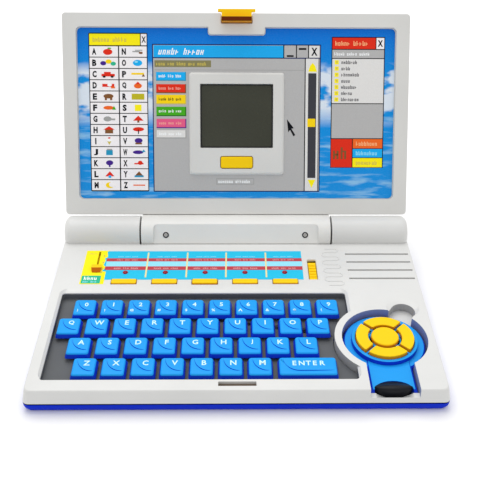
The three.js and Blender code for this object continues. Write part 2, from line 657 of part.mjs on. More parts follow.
function lidFront() {
  const floor = LID_FACE - LABEL.depth;
  const plate = prism(lidOutline(0), LID_SPLIT + SEAM / 2, LID_FACE);
  const label = prism(
    roundedRectangle(-LABEL.x, LABEL.x, LABEL.low, LABEL.high, LABEL.corner), floor, LID_FACE + 1
  );
  const tab = prism(
    roundedRectangle(-TAB.x, TAB.x, TAB.low, LID_HIGH - WALL, 2), LID_SPLIT + 1, LID_FACE
  );
  const bezelRing = (inset, z) =>
    ring(roundedRectangle(
      -BEZEL.x + inset, BEZEL.x - inset, BEZEL.low + inset, BEZEL.high - inset, BEZEL.corner
    ), z);
  const bezel = loft([
    bezelRing(0, floor - 0.5),
    bezelRing(0, floor + 0.3),
    bezelRing(BEZEL.slope, floor + BEZEL.rise),
  ]);
  const gap = PICTURE_KEY.gap;
  return cut(
    add(cut(plate, label), tab, bezel),
    block(-SCREEN.x, SCREEN.x, SCREEN.low, SCREEN.high, LID_SPLIT - 1, 2),
    prism(
      roundedRectangle(
        -PICTURE_KEY.x - gap, PICTURE_KEY.x + gap, PICTURE_KEY.low - gap, PICTURE_KEY.high + gap, 1.5
      ),
      LID_SPLIT - 1,
      2
    ),
    latchBay(LID_SPLIT - 1)
  );
}

function lidBack() {
  const back = LID_FACE - LID_DEPTH;
  const top = LID_SPLIT - SEAM / 2;
  const shell = cut(
    loft([ring(lidOutline(2), back), ring(lidOutline(0.4), back + 1.6), ring(lidOutline(0), top)]),
    loft([ring(lidOutline(WALL + 1), back + WALL), ring(lidOutline(WALL), top + 1)])
  );
  const [left, right] = [BARREL_LOW_X, BARREL_HIGH_X];
  const barrel = add(
    rod(left, right, BARREL, 0, 0),
    block(left, right, BARREL_NECK, LID_LOW + WALL, back + 0.02, top),
    block(left, right, BARREL_NECK, LID_LOW - SEAM, top - 1, LID_FACE)
  );
  const flat = prism(
    roundedRectangle(left + FLAT_INSET, right - FLAT_INSET, -20, 6.8, 3, 4), BARREL_FLAT, 20
  );
  const inside = (radius) => rod(left + BARREL_END, right - BARREL_END, radius, 0, 0);
  const neckHollow = block(
    left + 2 * BARREL_END, right - 2 * BARREL_END, 4, LID_LOW + 2 * WALL, back + WALL, top - 1.4
  );
  const pins = rod(left - PIN_LENGTH, right + PIN_LENGTH, PIN, 0, 0, 20);
  return add(
    cut(add(shell, barrel), flat, inside(BARREL - BARREL_WALL), neckHollow, latchBay(back + LID_BAY.floor)),
    cut(pins, inside(BARREL - BARREL_WALL - 0.6))
  );
}

function lcdPanel() {
  const { x, low, high, border, thick, glass } = SCREEN;
  const back = LID_SPLIT - SEAM / 2 - thick;
  return add(
    block(-x - border, x + border, low - border, high + border, back, LID_SPLIT - SEAM),
    block(SEAM - x, x - SEAM, low + SEAM, high - SEAM, back + 1, glass)
  );
}

function pictureKey() {
  const { x, low, high, top, flange: out } = PICTURE_KEY;
  const outline = (inset) => roundedRectangle(-x + inset, x - inset, low + inset, high - inset, 1.2);
  return add(
    loft([ring(outline(0), LID_SPLIT - 1), ring(outline(0), top - 0.4), ring(outline(0.5), top)]),
    block(-x - out, x + out, low - out, high + out, LID_SPLIT - FLANGE.thick, LID_SPLIT - SEAM)
  );
}

// The latch: a thumb wing above the lid's edge, a body in the bay and a hook that reaches into the base.
function latch() {
  const { hook, wing } = LATCH;
  const { low, high, back, front } = LATCH_BODY;
  const arm = LATCH_HOOK;
  return add(
    block(-wing, wing, LATCH_WING.low, LATCH_WING.high, LATCH_WING.back, front),
    block(-hook, hook, low, high, back, front),
    block(-hook, hook, low, arm.high, front - 1, arm.front),
    block(-hook, hook, arm.tipLow, arm.tipHigh, arm.tipBack, arm.front)
  );
}

piece(lid, 'lid_front', lidFront(), plastic(LID_WHITE, 0.5));
piece(lid, 'lid_back', lidBack(), plastic(LID_WHITE, 0.5));
piece(lid, 'lcd_panel', lcdPanel(), plastic(LCD_OLIVE, 0.2));
piece(lid, 'picture_button', pictureKey(), plastic(YELLOW));
piece(lid, 'lid_latch', latch(), plastic(YELLOW));

export default laptop;
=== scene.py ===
import json
import math
import random

import bmesh
import bpy
from mathutils import Matrix, Vector
from mathutils.geometry import tessellate_polygon


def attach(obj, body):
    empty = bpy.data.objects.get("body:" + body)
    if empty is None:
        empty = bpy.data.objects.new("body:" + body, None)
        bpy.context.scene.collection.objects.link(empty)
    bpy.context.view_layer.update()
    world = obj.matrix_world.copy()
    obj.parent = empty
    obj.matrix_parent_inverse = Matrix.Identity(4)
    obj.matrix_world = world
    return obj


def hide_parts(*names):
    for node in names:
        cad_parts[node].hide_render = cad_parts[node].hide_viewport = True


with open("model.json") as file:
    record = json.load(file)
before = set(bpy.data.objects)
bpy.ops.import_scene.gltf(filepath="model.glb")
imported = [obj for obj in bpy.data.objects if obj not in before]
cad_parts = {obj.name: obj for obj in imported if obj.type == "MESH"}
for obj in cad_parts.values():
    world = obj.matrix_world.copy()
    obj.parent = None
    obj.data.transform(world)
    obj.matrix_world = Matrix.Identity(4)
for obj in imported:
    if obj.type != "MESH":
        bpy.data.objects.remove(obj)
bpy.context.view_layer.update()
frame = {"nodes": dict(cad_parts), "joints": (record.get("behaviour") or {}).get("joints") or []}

# ------------------------------------------------------------------ frames
# Three frames in millimetres, as in the CAD: ROW is the row frame, DECK lies in the sloping top surface
# under the hinge axis, and LID sits on the hinge axis with Y up the lid and Z towards the user.

MM = 0.001
HINGE_RAISE = 1.2  # hinge axis above the deck

joints = {joint["name"]: joint for joint in frame["joints"]}


def place(x_axis, y_axis, z_axis, origin):
    """The matrix from millimetres in a frame with these axes to metres in the row frame."""
    columns = Matrix((x_axis, y_axis, z_axis)).transposed().to_4x4()
    return Matrix.Translation(origin) @ columns @ Matrix.Scale(MM, 4)


ACROSS = Vector((1, 0, 0))
HINGE = Vector(joints["lid_hinge"]["pos_m"])
DECK_UP = Vector(joints["mouse_lift"]["axis"]).normalized()
LID_OUT = -Vector(joints["picture_button_press"]["axis"]).normalized()
ROW = Matrix.Scale(MM, 4)
DECK = place(ACROSS, DECK_UP.cross(ACROSS), DECK_UP, HINGE - DECK_UP * HINGE_RAISE * MM)
LID = place(ACROSS, LID_OUT.cross(ACROSS), LID_OUT, HINGE)


def local_box(node, where):
    """Lowest and highest corner of a CAD node, in millimetres in one of the frames."""
    back = where.inverted()
    points = [back @ v.co for v in frame["nodes"][node].data.vertices]
    low = Vector([min(p[i] for p in points) for i in range(3)])
    high = Vector([max(p[i] for p in points) for i in range(3)])
    return low, high


# ------------------------------------------------------------------ camera, floor and light

CAMERA_SPOT = Vector((-1.65, -471.53, 334.43))  # in the deck frame
CAMERA_PITCH = math.radians(36.47)  # below the deck's plane
CAMERA_YAW = math.radians(1.367)
CAMERA_ROLL = math.radians(0.785)
CAMERA_LENS = 58.59


def add_camera():
    cos_p, sin_p = math.cos(CAMERA_PITCH), math.sin(CAMERA_PITCH)
    cos_y, sin_y = math.cos(CAMERA_YAW), math.sin(CAMERA_YAW)
    forward = Vector((sin_y * cos_p, cos_y * cos_p, -sin_p))
    right = Vector((cos_y, -sin_y, 0))
    up = right.cross(forward)
    cos_r, sin_r = math.cos(CAMERA_ROLL), math.sin(CAMERA_ROLL)
    level_right = cos_r * right + sin_r * up
    level_up = cos_r * up - sin_r * right
    turn = (DECK.to_3x3() * (1 / MM)) @ Matrix((level_right, level_up, -forward)).transposed()
    data = bpy.data.cameras.new("camera")
    data.lens = CAMERA_LENS
    data.sensor_width = 36
    data.clip_start = 0.01
    data.clip_end = 20
    camera = bpy.data.objects.new("camera", data)
    bpy.context.scene.collection.objects.link(camera)
    camera.matrix_world = Matrix.Translation(DECK @ CAMERA_SPOT) @ turn.to_4x4()
    bpy.context.scene.camera = camera


WORLD_LIGHT = 0.84
TOP_LIGHT = {"spot": Vector((-0.15, 0.55, 1.35)), "aim": Vector((0, 0, 0.02)), "size": 1.3, "watts": 11.5}
FLOOR_HALF = 4.0
FLOOR_DROP = 0.0003  # the floor lies this far under the feet
WHITE = (1.0, 1.0, 1.0, 1)


def add_studio():
    """An even white surrounding, one broad lamp from above and a white floor."""
    scene = bpy.context.scene
    scene.view_settings.view_transform = "Standard"
    scene.world = bpy.data.worlds.new("studio")
    scene.world.use_nodes = True
    sky = scene.world.node_tree.nodes["Background"]
    sky.inputs["Color"].default_value = WHITE
    sky.inputs["Strength"].default_value = WORLD_LIGHT

    data = bpy.data.lights.new("top_light", "AREA")
    data.shape = "DISK"
    data.size = TOP_LIGHT["size"]
    data.energy = TOP_LIGHT["watts"]
    lamp = bpy.data.objects.new("top_light", data)
    scene.collection.objects.link(lamp)
    lamp.location = TOP_LIGHT["spot"]
    lamp.rotation_mode = "QUATERNION"
    lamp.rotation_quaternion = (TOP_LIGHT["aim"] - TOP_LIGHT["spot"]).to_track_quat("-Z", "Y")

    mesh = bpy.data.meshes.new("floor")
    half = FLOOR_HALF
    corners = [(-half, -half, 0), (half, -half, 0), (half, half, 0), (-half, half, 0)]
    mesh.from_pydata(corners, [], [(0, 1, 2, 3)])
    floor = bpy.data.objects.new("floor", mesh)
    scene.collection.objects.link(floor)
    floor.location.z = -FLOOR_DROP
    new_material("floor_paint", (0.93, 0.93, 0.93), 0.9, 0.1)
    mesh.materials.append(materials["floor_paint"])


# ------------------------------------------------------------------ materials
# Each maker files its material in the dictionary under its name. Noise scales are per metre.

materials = {}


def feed(tree, socket, value):
    """Sets an input to a number or a colour, or joins it to another node's output."""
    if isinstance(value, bpy.types.NodeSocket):
        tree.links.new(value, socket)
    else:
        socket.default_value = (*value, 1) if socket.type == "RGBA" else value


def drive(tree, name, value):
    """Feeds an input of the material's main shader."""
    feed(tree, tree.nodes["Principled BSDF"].inputs[name], value)


def new_material(name, colour, roughness, shine=0.5):
    material = bpy.data.materials.new(name)
    material.use_nodes = True
    materials[name] = material
    tree = material.node_tree
    drive(tree, "Base Color", colour)
    drive(tree, "Roughness", roughness)
    drive(tree, "Specular IOR Level", shine)
    return tree


def add_node(tree, kind, inputs, output):
    node = tree.nodes.new("ShaderNode" + kind)
    for name, value in inputs.items():
        feed(tree, node.inputs[name], value)
    return node.outputs[output]


def position(tree):
    return add_node(tree, "TexCoord", {}, "Object")


def noise(tree, scale, detail, roughness=0.5, where=None):
    where = where or position(tree)
    inputs = {"Vector": where, "Scale": scale, "Detail": detail, "Roughness": roughness}
    return add_node(tree, "TexNoise", inputs, "Fac")


def spread(tree, value, low, high, to_low=0, to_high=1):
    """Maps low..high of a value to to_low..to_high, clamped."""
    inputs = {"Value": value, "From Min": low, "From Max": high, "To Min": to_low, "To Max": to_high}
    return add_node(tree, "MapRange", inputs, "Result")


def mixed(tree, factor, first, second):
    """A colour mix; each colour is a socket or three numbers."""
    node = tree.nodes.new("ShaderNodeMix")
    node.data_type = "RGBA"
    colours = [s for s in node.inputs if s.type == "RGBA"]
    feed(tree, colours[0], first)
    feed(tree, colours[1], second)
    feed(tree, next(s for s in node.inputs if s.type == "VALUE"), factor)
    return next(s for s in node.outputs if s.type == "RGBA")


def times(tree, first, second):
    node = tree.nodes.new("ShaderNodeMath")
    node.operation = "MULTIPLY"
    for socket, value in zip(node.inputs, (first, second)):
        tree.links.new(value, socket)
    return node.outputs[0]


def wander(tree, scale, detail, low, high):
    """A roughness that wanders between two values over the surface."""
    drive(tree, "Roughness", spread(tree, noise(tree, scale, detail), 0.3, 0.7, low, high))


def bump(tree, height, strength, distance=0.0001):
    inputs = {"Strength": strength, "Distance": distance, "Height": height}
    drive(tree, "Normal", add_node(tree, "Bump", inputs, "Normal"))


def scaled(colour, factor):
    return tuple(min(1.0, channel * factor) for channel in colour)


def plastic(name, colour, roughness, shine, grain=0.12):
    """Moulded plastic: a fine grain, faint flow marks in the colour and rubbed, shinier areas."""
    tree = new_material(name, colour, roughness, shine)
    flow = spread(tree, noise(tree, 22, 3), 0.3, 0.7)
    shade = mixed(tree, flow, scaled(colour, 0.96), scaled(colour, 1.02))
    specks = spread(tree, noise(tree, 900, 1), 0.7, 0.78, 0, 0.35)
    drive(tree, "Base Color", mixed(tree, specks, shade, scaled(colour, 0.88)))
    rubbed = noise(tree, 60, 4, 0.65)
    drive(tree, "Roughness", spread(tree, rubbed, 0.35, 0.7, roughness - 0.07, roughness + 0.09))
    bump(tree, noise(tree, 2600, 2, 0.6), grain)


def rubber(name, colour):
    tree = new_material(name, colour, 0.6, 0.2)
    dust = spread(tree, noise(tree, 150, 5, 0.7), 0.45, 0.75, 0, 0.5)
    drive(tree, "Base Color", mixed(tree, dust, colour, scaled(colour, 1.8)))
    wander(tree, 90, 3, 0.42, 0.62)
    bump(tree, noise(tree, 1500, 3), 0.25)


def metal(name, colour, roughness):
    tree = new_material(name, colour, roughness)
    drive(tree, "Metallic", 1)
    tarnish = spread(tree, noise(tree, 700, 4, 0.7), 0.35, 0.7)
    drive(tree, "Base Color", mixed(tree, tarnish, colour, scaled(colour, 0.55)))
    wander(tree, 1200, 3, roughness - 0.08, roughness + 0.15)
    bump(tree, noise(tree, 4000, 2), 0.1, 0.00005)


def halftone(tree, high=1):
    return spread(tree, noise(tree, 3200, 0), 0.42, 0.6, 0, high)


def laminate(tree):
    bump(tree, noise(tree, 300, 2), 0.05)


def ink(name, colour):
    """Printed ink under a thin laminate: a faint halftone and a slightly uneven sheen."""
    tree = new_material(name, colour, 0.5, 0.08)
    shade = mixed(tree, halftone(tree), scaled(colour, 0.95), scaled(colour, 1.03))
    drive(tree, "Base Color", shade)
    wander(tree, 45, 3, 0.44, 0.58)
    laminate(tree)


def sky_print(name):
    """The lid picture's printed sky: deep blue at the top, lighter below, with piled white cloud at half
    height and thin streaks under it. It reads the label's UV map, 0 to 1 across and up the label."""
    tree = new_material(name, (0.02, 0.2, 0.75), 0.55, 0.02)
    uv = add_node(tree, "TexCoord", {}, "UV")
    height = add_node(tree, "SeparateXYZ", {"Vector": uv}, "Y")
    deep = mixed(tree, spread(tree, height, 0.72, 1.0), (0.002, 0.26, 0.70), (0.001, 0.155, 0.64))
    base = mixed(tree, spread(tree, height, 0.0, 0.4), (0.008, 0.265, 0.70), deep)

    def clouds(scale, stretch, low, high, detail, shift):
        inputs = {"Vector": uv, "Scale": (scale, scale * stretch, 1), "Location": (shift, 1.7, 0)}
        where = add_node(tree, "Mapping", inputs, "Vector")
        return spread(tree, noise(tree, 1, detail, 0.5, where), low, high)

    def band(low, full, fade, high):
        """1 between full and fade of the height, falling to 0 at low and high."""
        return times(tree, spread(tree, height, low, full), spread(tree, height, fade, high, 1, 0))

    banks = times(tree, clouds(11, 0.9, 0.41, 0.5, 3, 3.1), band(0.42, 0.54, 0.74, 0.81))
    streaks = times(tree, clouds(9, 3.2, 0.5, 0.68, 4, 6.4), band(-0.2, -0.1, 0.45, 0.6))
    shade = mixed(tree, spread(tree, banks, 0, 1, 0, 0.95), base, (0.72, 0.78, 0.84))
    shade = mixed(tree, spread(tree, streaks, 0, 1, 0, 0.6), shade, (0.40, 0.66, 0.82))
    drive(tree, "Base Color", mixed(tree, halftone(tree, 0.02), shade, (1, 1, 1)))
    laminate(tree)


def screen_glass(name):
    """The reflective liquid-crystal panel: dark olive, slightly uneven, with a fine dot grid."""
    tree = new_material(name, (0.035, 0.037, 0.024), 0.25, 0.3)
    uneven = spread(tree, noise(tree, 18, 2), 0.3, 0.7)
    shade = mixed(tree, uneven, (0.030, 0.032, 0.019), (0.043, 0.045, 0.029))
    cells = add_node(tree, "TexChecker", {"Vector": position(tree), "Scale": 1600}, "Fac")
    shade = mixed(tree, spread(tree, cells, 0, 1, 0, 0.12), shade, (0.015, 0.016, 0.01))
    drive(tree, "Base Color", shade)
    wander(tree, 200, 3, 0.2, 0.32)


def circuit(name):
    """Green solder mask with paler copper tracks under it."""
    tree = new_material(name, (0.01, 0.12, 0.035), 0.35)
    inputs = {
        "Vector": position(tree),
        "Scale": 90,
        "Mortar Size": 0.06,
        "Color1": (0.008, 0.10, 0.03),
        "Color2": (0.012, 0.13, 0.04),
        "Mortar": (0.05, 0.25, 0.08),
    }
    drive(tree, "Base Color", add_node(tree, "TexBrick", inputs, "Color"))
    wander(tree, 80, 2, 0.28, 0.42)


def cloth(name, colour):
    """Woven dust cloth behind the speaker slots."""
    tree = new_material(name, colour, 0.9)
    wave = add_node(tree, "TexWave", {"Vector": position(tree), "Scale": 700}, "Fac")
    drive(tree, "Base Color", mixed(tree, wave, scaled(colour, 0.75), colour))
    bump(tree, wave, 0.4, 0.0002)


def lamp_lens(name):
    """Clear red moulding over a lamp that is off."""
    tree = new_material(name, (0.33, 0.0, 0.012), 0.25, 0.3)
    cloudy = spread(tree, noise(tree, 600, 2), 0.3, 0.7)
    drive(tree, "Base Color", mixed(tree, cloudy, (0.26, 0.0, 0.008), (0.40, 0.0, 0.016)))


PLASTICS = {  # colour, roughness, shine and, where it isn't the usual one, the grain's height
    "white": ((0.67, 0.67, 0.655), 0.38, 0.4),
    "lid_white": ((0.66, 0.655, 0.63), 0.45, 0.3),
    # A lighter copy of the white for the lid back: painted light on the hinge barrel's top.
    "back_white_lit": ((0.74, 0.735, 0.71), 0.42, 0.4),
    "navy": ((0.004, 0.026, 0.55), 0.36, 0.05),
    "key_blue": ((0.014, 0.335, 0.84), 0.38, 0.1),
    # The key blue darkened: painted shade for the sides of the keys and of the mouse.
    "key_side_shade": ((0.004, 0.045, 0.62), 0.38, 0.12),
    "yellow": ((0.93, 0.60, 0.004), 0.42, 0.1),
    # The yellow darkened to orange: painted shade for the sides and fronts of the yellow parts.
    "yellow_side_shade": ((0.74, 0.28, 0.004), 0.42, 0.1),
    # Blue-grey for white walls: painted shade with a painted blue reflection of the mouse.
    "recess_shade_reflection": ((0.26, 0.31, 0.46), 0.4, 0.1),
    # Grey for white walls: painted shade inside the finger scoop and outside the ring.
    "scoop_shade": ((0.42, 0.42, 0.40), 0.4, 0.1),
    # Dark orange-brown: painted shade on the slider knob's front face.
    "slider_front_shade": ((0.50, 0.12, 0.004), 0.45, 0.05),
    "slot_lemon": ((0.75, 0.60, 0.01), 0.5, 0.05),
    # Dark red-brown: painted deep shadow on the yellow latch hook.
    "hook_shade": ((0.13, 0.022, 0.003), 0.5, 0.05),
    # Tan for white plastic: painted shade and warm reflected light inside the latch slot.
    "well_shade": ((0.42, 0.33, 0.26), 0.6, 0.1),
    # Near black: painted shadow in the seam between the two case halves.
    "seam_shadow": ((0.002, 0.004, 0.03), 0.7, 0.02),
    "tray": ((0.128, 0.134, 0.14), 0.62, 0.1),
    # Near black: painted shade, for the barrel screws' holes and the shadow round the screen.
    "chip": ((0.012, 0.012, 0.013), 0.45, 0.2),
    "legend": ((0.62, 0.9, 0.98), 0.5, 0.1, 0.05),
}
INKS = {
    "dark": (0.004, 0.005, 0.008),
    "navy_line": (0.004, 0.02, 0.12),
    "paper": (0.90, 0.87, 0.88),
    "panel": (0.46, 0.455, 0.45),
    "panel_light": (0.74, 0.73, 0.71),
    "panel_dark": (0.36, 0.36, 0.35),
    "cyan": (0.012, 0.42, 0.86),
    "title_cyan": (0.014, 0.40, 0.84),
    "yellow_ink": (0.95, 0.66, 0.008),
    "lemon": (0.98, 0.84, 0.01),
    "red": (0.74, 0.03, 0.012),
    "orange": (0.86, 0.14, 0.02),
    "green": (0.06, 0.40, 0.015),
    "pink": (0.78, 0.11, 0.24),
    "olive": (0.24, 0.22, 0.10),
    "mustard": (0.52, 0.46, 0.02),
    "gold": (0.62, 0.50, 0.10),
    "track": (0.05, 0.05, 0.06),
    "white_ink": (0.93, 0.95, 0.95),
    "pale_cyan": (0.30, 0.74, 0.92),
    "field_cyan": (0.02, 0.52, 0.78),
    "band_red": (0.50, 0.055, 0.07),
    "band_text": (0.72, 0.35, 0.35),
    "mint": (0.03, 0.47, 0.27),
    "brown": (0.22, 0.09, 0.03),
    "violet": (0.06, 0.02, 0.25),
    "sea": (0.02, 0.30, 0.50),
    "cream": (0.80, 0.72, 0.36),
    "field_light": (0.36, 0.78, 0.92),
    "pink_light": (0.90, 0.42, 0.34),
    "orange_light": (0.95, 0.48, 0.22),
    "dark_green": (0.02, 0.15, 0.01),
}


def make_materials():
    for name, values in PLASTICS.items():
        plastic(name, *values)
    for name, colour in INKS.items():
        ink(name, colour)
    sky_print("sky")
    screen_glass("screen")
    rubber("black_rubber", (0.004, 0.0045, 0.007))
    metal("steel", (0.55, 0.54, 0.52), 0.35)
    lamp_lens("lamp")
    circuit("circuit")
    cloth("cloth", (0.22, 0.17, 0.115))
    rubber("cone", (0.03, 0.028, 0.026))


# ------------------------------------------------------------------ mesh work


def rounded(left, right, front, back, radius, steps=4):
    """A rectangle with round corners, anticlockwise, as (x, y) points."""
    radius = max(radius, 0.01)
    corners = [
        (right - radius, back - radius, 0),
        (left + radius, back - radius, 1),
        (left + radius, front + radius, 2),
        (right - radius, front + radius, 3),
    ]
    points = []
    for x, y, quarter in corners:
        for i in range(steps + 1):
            angle = (quarter + i / steps) * math.pi / 2
            points.append((x + radius * math.cos(angle), y + radius * math.sin(angle)))
    return points


def oval(x, y, half_x, half_y, steps=32):
    turn = 2 * math.pi / steps
    return [(x + half_x * math.cos(i * turn), y + half_y * math.sin(i * turn)) for i in range(steps)]


def lofted(bm, rings, material=0):
    """A closed solid through rings of (x, y, z) points, all with the same number of points."""
    levels = [[bm.verts.new(p) for p in ring] for ring in rings]
    count = len(levels[0])
    faces = [bm.faces.new(list(reversed(levels[0]))), bm.faces.new(levels[-1])]
    for low, high in zip(levels, levels[1:]):
        for i in range(count):
            j = (i + 1) % count
            faces.append(bm.faces.new((low[i], low[j], high[j], high[i])))
    for face in faces:
        face.material_index = material
    return faces


def lift(outline, z):
    return [(x, y, z) for x, y in outline]


def slab(bm, outline, low, high, material=0):
    """A flat-topped solid of any outline."""
    return lofted(bm, [lift(outline, low), lift(outline, high)], material)


def domed(shape, low, high, edge, steps=4):
    """Rings of a solid with a rounded upper edge. shape(inset) gives the outline."""
    rings = [lift(shape(0), low)]
    for i in range(steps + 1):
        angle = i / steps * math.pi / 2
        rings.append(lift(shape(edge * (1 - math.cos(angle))), high - edge * (1 - math.sin(angle))))
    return rings


def level_normals(mesh, sharp):
    """Sets the corner normals so that large flat faces stay flat and only the rounded edges between them
    turn: each corner takes the area-weighted mean of the faces around it that meet it smoothly."""
    around = [[] for _ in mesh.vertices]
    for face in mesh.polygons:
        for vertex in face.vertices:
            around[vertex].append((face.normal.copy(), face.area))
    limit = math.cos(math.radians(sharp))
    normals = []
    for face in mesh.polygons:
        for vertex in face.vertices:
            total = Vector((0, 0, 0))
            for normal, area in around[vertex]:
                if normal.dot(face.normal) > limit:
                    total += normal * area
            normals.append(total.normalized())
    mesh.normals_split_custom_set(normals)


def add_piece(name, bm, where, slots, body, replaced=(), sharp=32, level=False):
    """A piece from a bmesh in one of the frames, smooth-shaded up to an angle, on one of the bodies."""
    bmesh.ops.recalc_face_normals(bm, faces=bm.faces)
    mesh = bpy.data.meshes.new(name)
    bm.to_mesh(mesh)
    bm.free()
    mesh.transform(where)
    mesh.shade_smooth()
    mesh.set_sharp_from_angle(angle=math.radians(sharp))
    if level:
        level_normals(mesh, sharp)
    piece = bpy.data.objects.new(name, mesh)
    bpy.context.scene.collection.objects.link(piece)
    for slot_name in slots:
        mesh.materials.append(materials[slot_name])
    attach(piece, body)
    if replaced:
        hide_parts(*replaced)


def chains(edges):
    """Groups of edges that share vertices, in the same order each run."""
    left = dict.fromkeys(edges)
    groups = []
    while left:
        seed = next(iter(left))
        del left[seed]
        group, queue = [seed], [seed]
        while queue:
            edge = queue.pop()
            for vertex in edge.verts:
                for other in vertex.link_edges:
                    if other in left:
                        del left[other]
                        group.append(other)
                        queue.append(other)
        groups.append(group)
    return groups


def cad_mesh(node, where):
    """A CAD node's mesh in millimetres in one of the frames, with its flat faces made whole."""
    bm = bmesh.new()
    bm.from_mesh(frame["nodes"][node].data)
    bm.transform(where.inverted())
    bmesh.ops.remove_doubles(bm, verts=bm.verts, dist=0.002)
    bmesh.ops.dissolve_limit(
        bm, angle_limit=math.radians(0.6), use_dissolve_boundaries=False, verts=bm.verts, edges=bm.edges
    )
    return bm


SOFTEN_ABOVE = math.radians(28)


def soften(bm, width):
    """Rounds every edge that is sharper than that angle, each group as far as its own size allows."""
    sharp = [e for e in bm.edges if len(e.link_faces) == 2 and e.calc_face_angle(0) > SOFTEN_ABOVE]
    for group in chains(sharp):
        verts = list(dict.fromkeys(v for e in group for v in e.verts))
        bmesh.ops.bevel(
            bm,
            geom=verts + group,
            offset=width,
            offset_type="OFFSET",
            segments=2,
            profile=0.5,
            affect="EDGES",
            clamp_overlap=True,
        )


def text_mesh(body, height, thick, bold, width):
    """A line of text as a mesh in the XY plane: centred, of this height (and width), from z 0 up."""
    curve = bpy.data.curves.new("text", "FONT")
    curve.body = body
    curve.offset = bold
    curve.extrude = 0.5
    curve.resolution_u = 2
    holder = bpy.data.objects.new("text", curve)
    mesh = bpy.data.meshes.new_from_object(holder)
    bpy.data.objects.remove(holder)
    bpy.data.curves.remove(curve)
    low = [min(v.co[i] for v in mesh.vertices) for i in range(3)]
    high = [max(v.co[i] for v in mesh.vertices) for i in range(3)]
    up = height / (high[1] - low[1])
    across = up if width is None else width / (high[0] - low[0])
    middle = Vector(((low[0] + high[0]) / 2, (low[1] + high[1]) / 2, low[2]))
    mesh.transform(Matrix.Diagonal((across, up, thick, 1)) @ Matrix.Translation(-middle))
    return mesh


def add_text(bm, body, x, y, z, height, thick, material, bold, width=None):
    mesh = text_mesh(body, height, thick, bold, width)
    mesh.transform(Matrix.Translation((x, y, z)))
    known = set(bm.faces)
    bm.from_mesh(mesh)
    bpy.data.meshes.remove(mesh)
    for face in bm.faces:
        if face not in known:
            face.material_index = material


def carved(bm, *cutters):
    """Takes closed cutter meshes out of a closed mesh, all in the same frame."""
    mesh = bpy.data.meshes.new("carved")
    bmesh.ops.recalc_face_normals(bm, faces=bm.faces)
    bm.to_mesh(mesh)
    bm.free()
    whole = bpy.data.objects.new("carved", mesh)
    bpy.context.scene.collection.objects.link(whole)
    tools = []
    for cutter in cutters:
        bmesh.ops.recalc_face_normals(cutter, faces=cutter.faces)
        tool_mesh = bpy.data.meshes.new("cutter")
        cutter.to_mesh(tool_mesh)
        cutter.free()
        tool = bpy.data.objects.new("cutter", tool_mesh)
        bpy.context.scene.collection.objects.link(tool)
        tools.append(tool)
        difference = whole.modifiers.new("difference", "BOOLEAN")
        difference.operation = "DIFFERENCE"
        difference.solver = "EXACT"
        difference.object = tool
    result = bpy.data.meshes.new_from_object(whole.evaluated_get(bpy.context.evaluated_depsgraph_get()))
    made = bmesh.new()
    made.from_mesh(result)
    for thing in (whole, *tools):
        bpy.data.objects.remove(thing)
    bpy.data.meshes.remove(result)
    return made


# ------------------------------------------------------------------ moulded shells and buttons
# Every visible CAD piece gets a copy whose edges are rounded as a mould rounds them.


def paint(bm, index, chosen):
    """Gives the faces whose middle and normal pass a test another material."""
    bm.normal_update()
    for face in bm.faces:
        if chosen(face.calc_center_median(), face.normal):
            face.material_index = index


def moulded(node, width, slots, body, where, slope=None, areas=()):
    """slope: faces that lean further away from the frame's Z than this cosine get the second material, a
    darker copy that paints shade on them.
    areas: the materials' indices and tests for other faces."""
    bm = cad_mesh(node, where)
    soften(bm, width)
    if slope:
        paint(bm, 1, lambda _, normal: normal.z < slope)
    for index, chosen in areas:
        paint(bm, index, chosen)
    add_piece(node + "_moulded", bm, where, slots, body, (node,), level=True)


CRADLE_PLAY = 1.6  # the cradle's wall lies within this of the mouse
CRADLE_RING = 5.5  # from the mouse to the outer wall of the ring round it
RING_WALL = 0.7  # that wall's faces lie within this of the circle
RIM_DEPTH = 0.9  # the deck's rounded edges end above this depth
HOOK_FRONT = 5.5  # the latch hook's front face stands out past this
RIM_LOW = 5.0  # the bottom case's rim is above this
STEEP = 0.5  # a wall's normal has less of the frame's Z than this
NEAR = 0.5  # how close to an opening its own walls lie
SCOOP = Vector((104.8, -82.8))
SCOOP_RADIUS = 7.7


